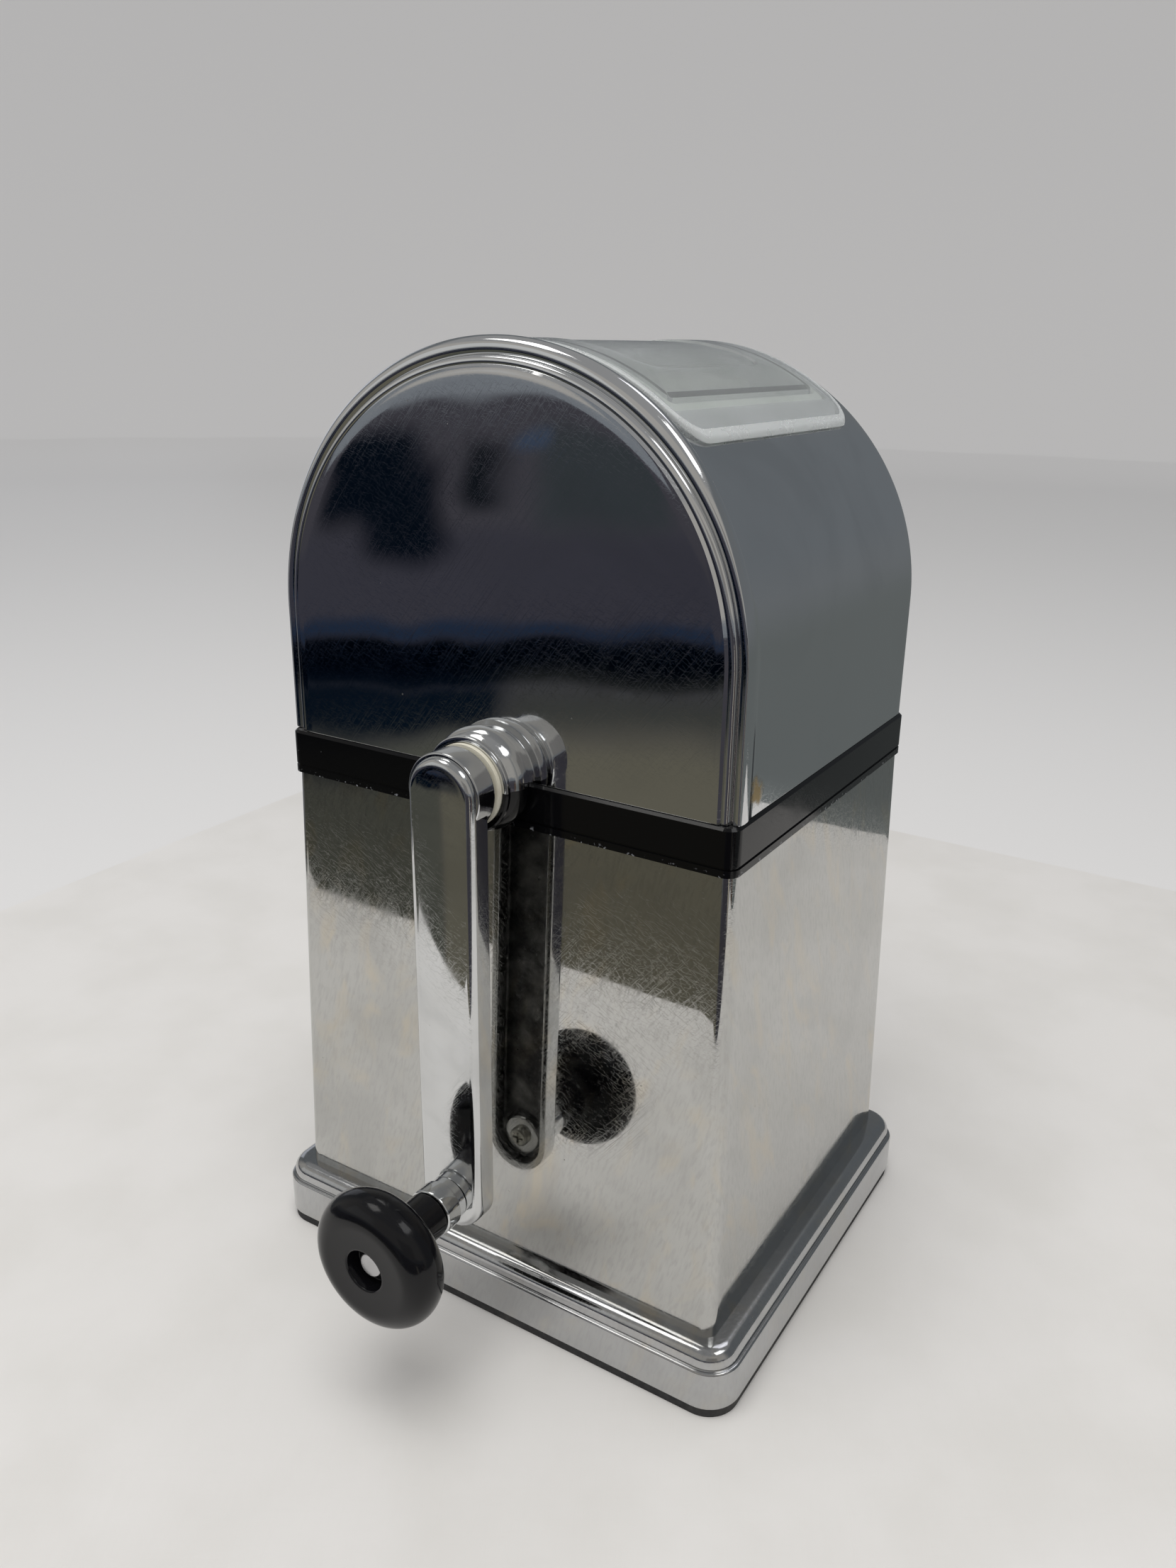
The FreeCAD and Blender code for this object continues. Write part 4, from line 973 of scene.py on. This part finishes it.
# Finishes of the frame's own nodes
keptNodes = {"base_pad": "padRubber", "band_frame": "blackBand", "hopper_insert": "milkyHopper",
             "ice_bin": "frostedBin",
             "front_bush": "creamNylon", "rear_bush": "creamNylon", "bearing_cap": "blackBand",
             "crank_shaft": "turnedSteel", "rear_sleeve": "turnedSteel", "knob_pin": "turnedSteel",
             "knob_pin_screw": "zincSteel", "front_clip": "zincSteel", "rear_clip": "zincSteel",
             "coarse_comb": "groundSteel", "fine_comb": "groundSteel"}
for k in range(1, 7):
    keptNodes[f"blade_spacer_{k}"] = "turnedSteel"
for name, finish in keptNodes.items():
    for slot in nodes[name].material_slots:
        slot.material = materials[finish]
print("finishes set on", len(keptNodes), "nodes")

# Table and background: a table top, a plain pale surface beyond it, and a bowl that closes the view
stageSizes = {"table": (-335.0, 385.0, -243.0, 346.0), "corner": 30.0, "rings": (900.0, 1400.0, 2200.0), "bend": 900.0,
              "height": 2000.0, "colour": (0.74, 0.72, 0.69), "worn": (0.70, 0.68, 0.645),
              "beyond": (0.735, 0.725, 0.71), "beyondRough": 0.6, "cloudSize": 0.05, "cloudSpan": (0.35, 0.7),
              "rough": (0.48, 0.36), "bump": 0.4, "depth": 0.00002,
              "hairs": (((0.0014, 0.060, 0.0014), (0, 0, 28), 0.010, 0.8),
                        ((0.0016, 0.050, 0.0016), (0, 0, -58), 0.008, 1.0))}


def tableTop(s):
    material, tree, shader = newMaterial("paleTable")
    hair = hairLines(tree, s["hairs"])
    cloudy = levels(grain(tree, s["cloudSize"], 4.0), *s["cloudSpan"])
    wire(shader, mixed(cloudy, s["colour"], s["worn"]), levels(hair, 0.0, 1.0, *s["rough"]),
           bumped(hair, s["bump"], s["depth"]))
    return material


def flatRing(halfX, halfY, corner, height):
    # Level ring about the table's middle.
    west, east, front, back = stageSizes["table"]
    ring = rectRing(halfX, halfY, corner, 12, 24)
    return [(p.x + (west + east) / 2, p.y + (front + back) / 2, height) for p, n in ring]


def stagePiece(name, rings, material, **seen):
    points, faces = loft(rings)
    mesh = bpy.data.meshes.new(name)
    mesh.from_pydata([[c * milli for c in p] for p in points], [], faces)
    mesh.materials.append(material)
    shadeByAngle(mesh, 60.0)
    piece = addToScene(name, mesh)
    for key, value in seen.items():
        setattr(piece, key, value)


def background():
    s = stageSizes
    west, east, front, back = s["table"]
    halfX, halfY, corner = (east - west) / 2, (back - front) / 2, s["corner"]
    stagePiece("tableTop", [flatRing(halfX * k, halfY * k, corner * k, 0.0) for k in (1.0, 0.5, 0.00001)], tableTop(s))
    plainFloor, tree, shader = newMaterial("plainFloor", Roughness=s["beyondRough"])
    shader.inputs["Base Color"].default_value = (*s["beyond"], 1.0)
    flat = s["rings"][-1]
    steps = [(r, 0.0) for r in s["rings"]]
    steps += [(flat + s["bend"] * math.sin(a), s["bend"] * (1 - math.cos(a))) for a in spread(0.0, math.pi / 2, 12)[1:]]
    steps.append((flat + s["bend"], s["height"]))
    rings = [flatRing(halfX, halfY, corner, 0.0)] + [flatRing(r, r, r - 1.0, z) for r, z in steps]
    stagePiece("floorBeyond", rings, plainFloor, visible_glossy=False, visible_diffuse=False, visible_shadow=False)


background()

# Room: a shell that only reflections see. Each patch is west, east, low, high (degrees), softness and colour.
# Azimuth runs from the front (-Y) towards +X.
roomSizes = {"radius": 2500.0, "height": 150.0, "wobble": 3.0, "wobbleRise": 0.75, "wobbleSize": 0.22,
             "turn": (78.0, 100.0), "rise": (38.0, 46.0), "front": (0.40, 0.385, 0.36), "back": (0.15, 0.16, 0.168),
             "ceiling": (0.30, 0.30, 0.30)}
roomPatches = [
    (80, 200, -60, -4, 6.0, (0.126, 0.137, 0.136)), (80, 200, -60, -19.4, 0.8, (0.155, 0.168, 0.166)),
    (-200, -80, -60, -4, 6.0, (0.15, 0.155, 0.165)), (-80, 80, -2, 5, 1.0, (0.19, 0.205, 0.225)),
    (-80, 80, -60, -0.2, 0.4, (0.052, 0.050, 0.060)), (-80, 0, -12, -6.6, 0.8, (0.042, 0.0415, 0.054)),
    (-33.5, -26.3, -6.4, -2.0, 0.8, (0.036, 0.043, 0.048)), (-36.5, -34.9, -5.4, -2.1, 0.8, (0.006, 0.008, 0.011)),
    (-44.4, -39.4, -6.4, -1.7, 0.9, (0.0020, 0.0042, 0.0085)),
    (-42.2, -37.9, -8.1, -3.4, 0.9, (0.0020, 0.0042, 0.0085)),
    (-34.5, -33.2, -2.9, -2.2, 0.4, (0.040, 0.060, 0.100)), (-80, 0, -11.8, -11.0, 0.35, (0.014, 0.025, 0.050)),
    (-80, 0, -14.3, -11.8, 0.3, (0.0003, 0.001, 0.003)), (-80, -35, -17.2, -14.0, 0.9, (0.0025, 0.006, 0.012)),
    (-35, 0, -17, -14.4, 1.3, (0.046, 0.049, 0.046)), (-80, -36, -60, -17, 0.9, (0.077, 0.0785, 0.065)),
    (-36, 0, -60, -17, 1.6, (0.126, 0.118, 0.090)), (0.5, 8.0, -22, -4, 0.8, (0.11, 0.115, 0.12)),
    (47, 53, -22, -4, 0.8, (0.50, 0.46, 0.38)), (72, 78, -22, -3, 1.0, (0.10, 0.06, 0.035)),
    (-130, -105, -1, 24, 1.5, (0.55, 0.57, 0.62)), (150, 176, 4, 34, 6.0, (0.145, 0.158, 0.170)),
    (-60, -20, 8, 30, 2.0, (0.55, 0.55, 0.54)), (20, 55, 2, 26, 2.0, (0.24, 0.23, 0.22)),
    (-75, -35, 52, 70, 1.5, (3.0, 2.95, 2.85)), (60, 110, 48, 66, 1.5, (2.4, 2.4, 2.4)),
    (150, 195, 50, 68, 1.5, (1.6, 1.6, 1.7)),
]
patchInputs = ("Azimuth", "Elevation", "West", "East", "Low", "High", "Soft")


def patchGroup():
    group = bpy.data.node_groups.new("roomPatch", "ShaderNodeTree")
    for label in patchInputs:
        group.interface.new_socket(label, in_out="INPUT", socket_type="NodeSocketFloat")
    group.interface.new_socket("Mask", in_out="OUTPUT", socket_type="NodeSocketFloat")
    g = group.nodes.new("NodeGroupInput").outputs
    sides = [levels(g[value], maths("SUBTRACT", g[edge], g["Soft"]), total(g[edge], g["Soft"]), start, stop)
             for value, edge, start, stop in (("Azimuth", "West", 0.0, 1.0), ("Azimuth", "East", 1.0, 0.0),
                                              ("Elevation", "Low", 0.0, 1.0), ("Elevation", "High", 1.0, 0.0))]
    mask = times(times(sides[0], sides[1]), times(sides[2], sides[3]))
    feed(group.nodes.new("NodeGroupOutput").inputs[0], mask)
    return group


def roomShell():
    s = roomSizes
    material = bpy.data.materials.new("paintedRoom")
    material.use_nodes = True
    material.cycles.emission_sampling = "NONE"
    tree = material.node_tree
    tree.nodes.clear()
    away = joined("ShaderNodeVectorMath", {0: placeOf(tree), 1: (0, 0, s["height"] * milli)}, operation="SUBTRACT")
    unit = joined("ShaderNodeVectorMath", {0: away}, operation="NORMALIZE")
    parts = addNode(tree, "ShaderNodeSeparateXYZ", {0: unit}).outputs
    sway = times(maths("SUBTRACT", grain(tree, s["wobbleSize"], 1.0), 0.5), s["wobble"])
    azimuth = total(times(maths("ARCTAN2", parts[0], times(parts[1], -1.0)), 180 / math.pi), sway)
    elevation = total(times(maths("ARCSINE", parts[2]), 180 / math.pi), times(sway, s["wobbleRise"]))
    colour = mixed(levels(maths("ABSOLUTE", azimuth), *s["turn"]), s["front"], s["back"])
    colour = mixed(levels(elevation, *s["rise"]), colour, s["ceiling"])
    group = patchGroup()
    for *edges, tone in roomPatches:
        patch = addNode(tree, "ShaderNodeGroup", node_tree=group)
        for label, value in zip(patchInputs, (azimuth, elevation, *edges)):
            feed(patch.inputs[label], value)
        colour = mixed(patch.outputs[0], colour, tone)
    glow = joined("ShaderNodeEmission", {"Color": colour, "Strength": 1.0})
    addNode(tree, "ShaderNodeOutputMaterial", {"Surface": glow})
    angles = [math.radians(a) for a in spread(-89.9, 89.9, 60)]
    turns = [2 * math.pi * k / 120 for k in range(120)]
    rings = [[(s["radius"] * math.cos(a) * math.cos(b), s["radius"] * math.cos(a) * math.sin(b),
               s["height"] + s["radius"] * math.sin(a)) for b in turns] for a in angles]
    stagePiece("roomShell", rings, material, visible_camera=False, visible_diffuse=False, visible_transmission=False,
               visible_shadow=False, visible_volume_scatter=False)


roomShell()

# Light: one wide soft lamp overhead and an even pale surround
lightSizes = {"place": (0.04, -0.32, 1.25), "aim": (0.0, 0.0, 0.12), "side": 0.9, "power": 9.0,
              "surround": (0.60, 0.60, 0.61)}


def lights():
    s = lightSizes
    lamp = bpy.data.lights.new("softLamp", "AREA")
    lamp.shape, lamp.size, lamp.energy = "DISK", s["side"], s["power"]
    holder = addToScene("softLamp", lamp)
    holder.location = s["place"]
    holder.rotation_euler = (Vector(s["aim"]) - Vector(s["place"])).to_track_quat("-Z", "Y").to_euler()
    holder.visible_glossy = False
    world = bpy.data.worlds.new("surround")
    world.use_nodes = True
    world.node_tree.nodes["Background"].inputs["Color"].default_value = (*s["surround"], 1.0)
    world.node_tree.nodes["Background"].inputs["Strength"].default_value = 1.0
    bpy.context.scene.world = world


lights()

# Camera as the photograph was taken
cameraSizes = {"place": (0.16704, -0.27843, 0.25137), "azimuth": 31.875, "elevation": 19.754, "roll": 0.769,
               "lens": 28.354, "sensor": 36.0}


def camera():
    s = cameraSizes
    azimuth, elevation, roll = (math.radians(s[key]) for key in ("azimuth", "elevation", "roll"))
    level = math.cos(elevation)
    back = Vector((math.sin(azimuth) * level, -math.cos(azimuth) * level, math.sin(elevation)))
    right = (-back).cross(Vector((0, 0, 1))).normalized()
    up = right.cross(-back)
    axes = (math.cos(roll) * right + math.sin(roll) * up, math.cos(roll) * up - math.sin(roll) * right, back)
    data = bpy.data.cameras.new("photoCamera")
    data.lens = s["lens"]
    data.sensor_width = s["sensor"]
    data.clip_start = 0.01
    holder = addToScene("photoCamera", data)
    turn = Matrix(axes).transposed().to_4x4()
    holder.matrix_world = Matrix.Translation(s["place"]) @ turn
    bpy.context.scene.camera = holder


camera()
bpy.context.scene.view_settings.view_transform = "Standard"
print("stage, light and camera set")
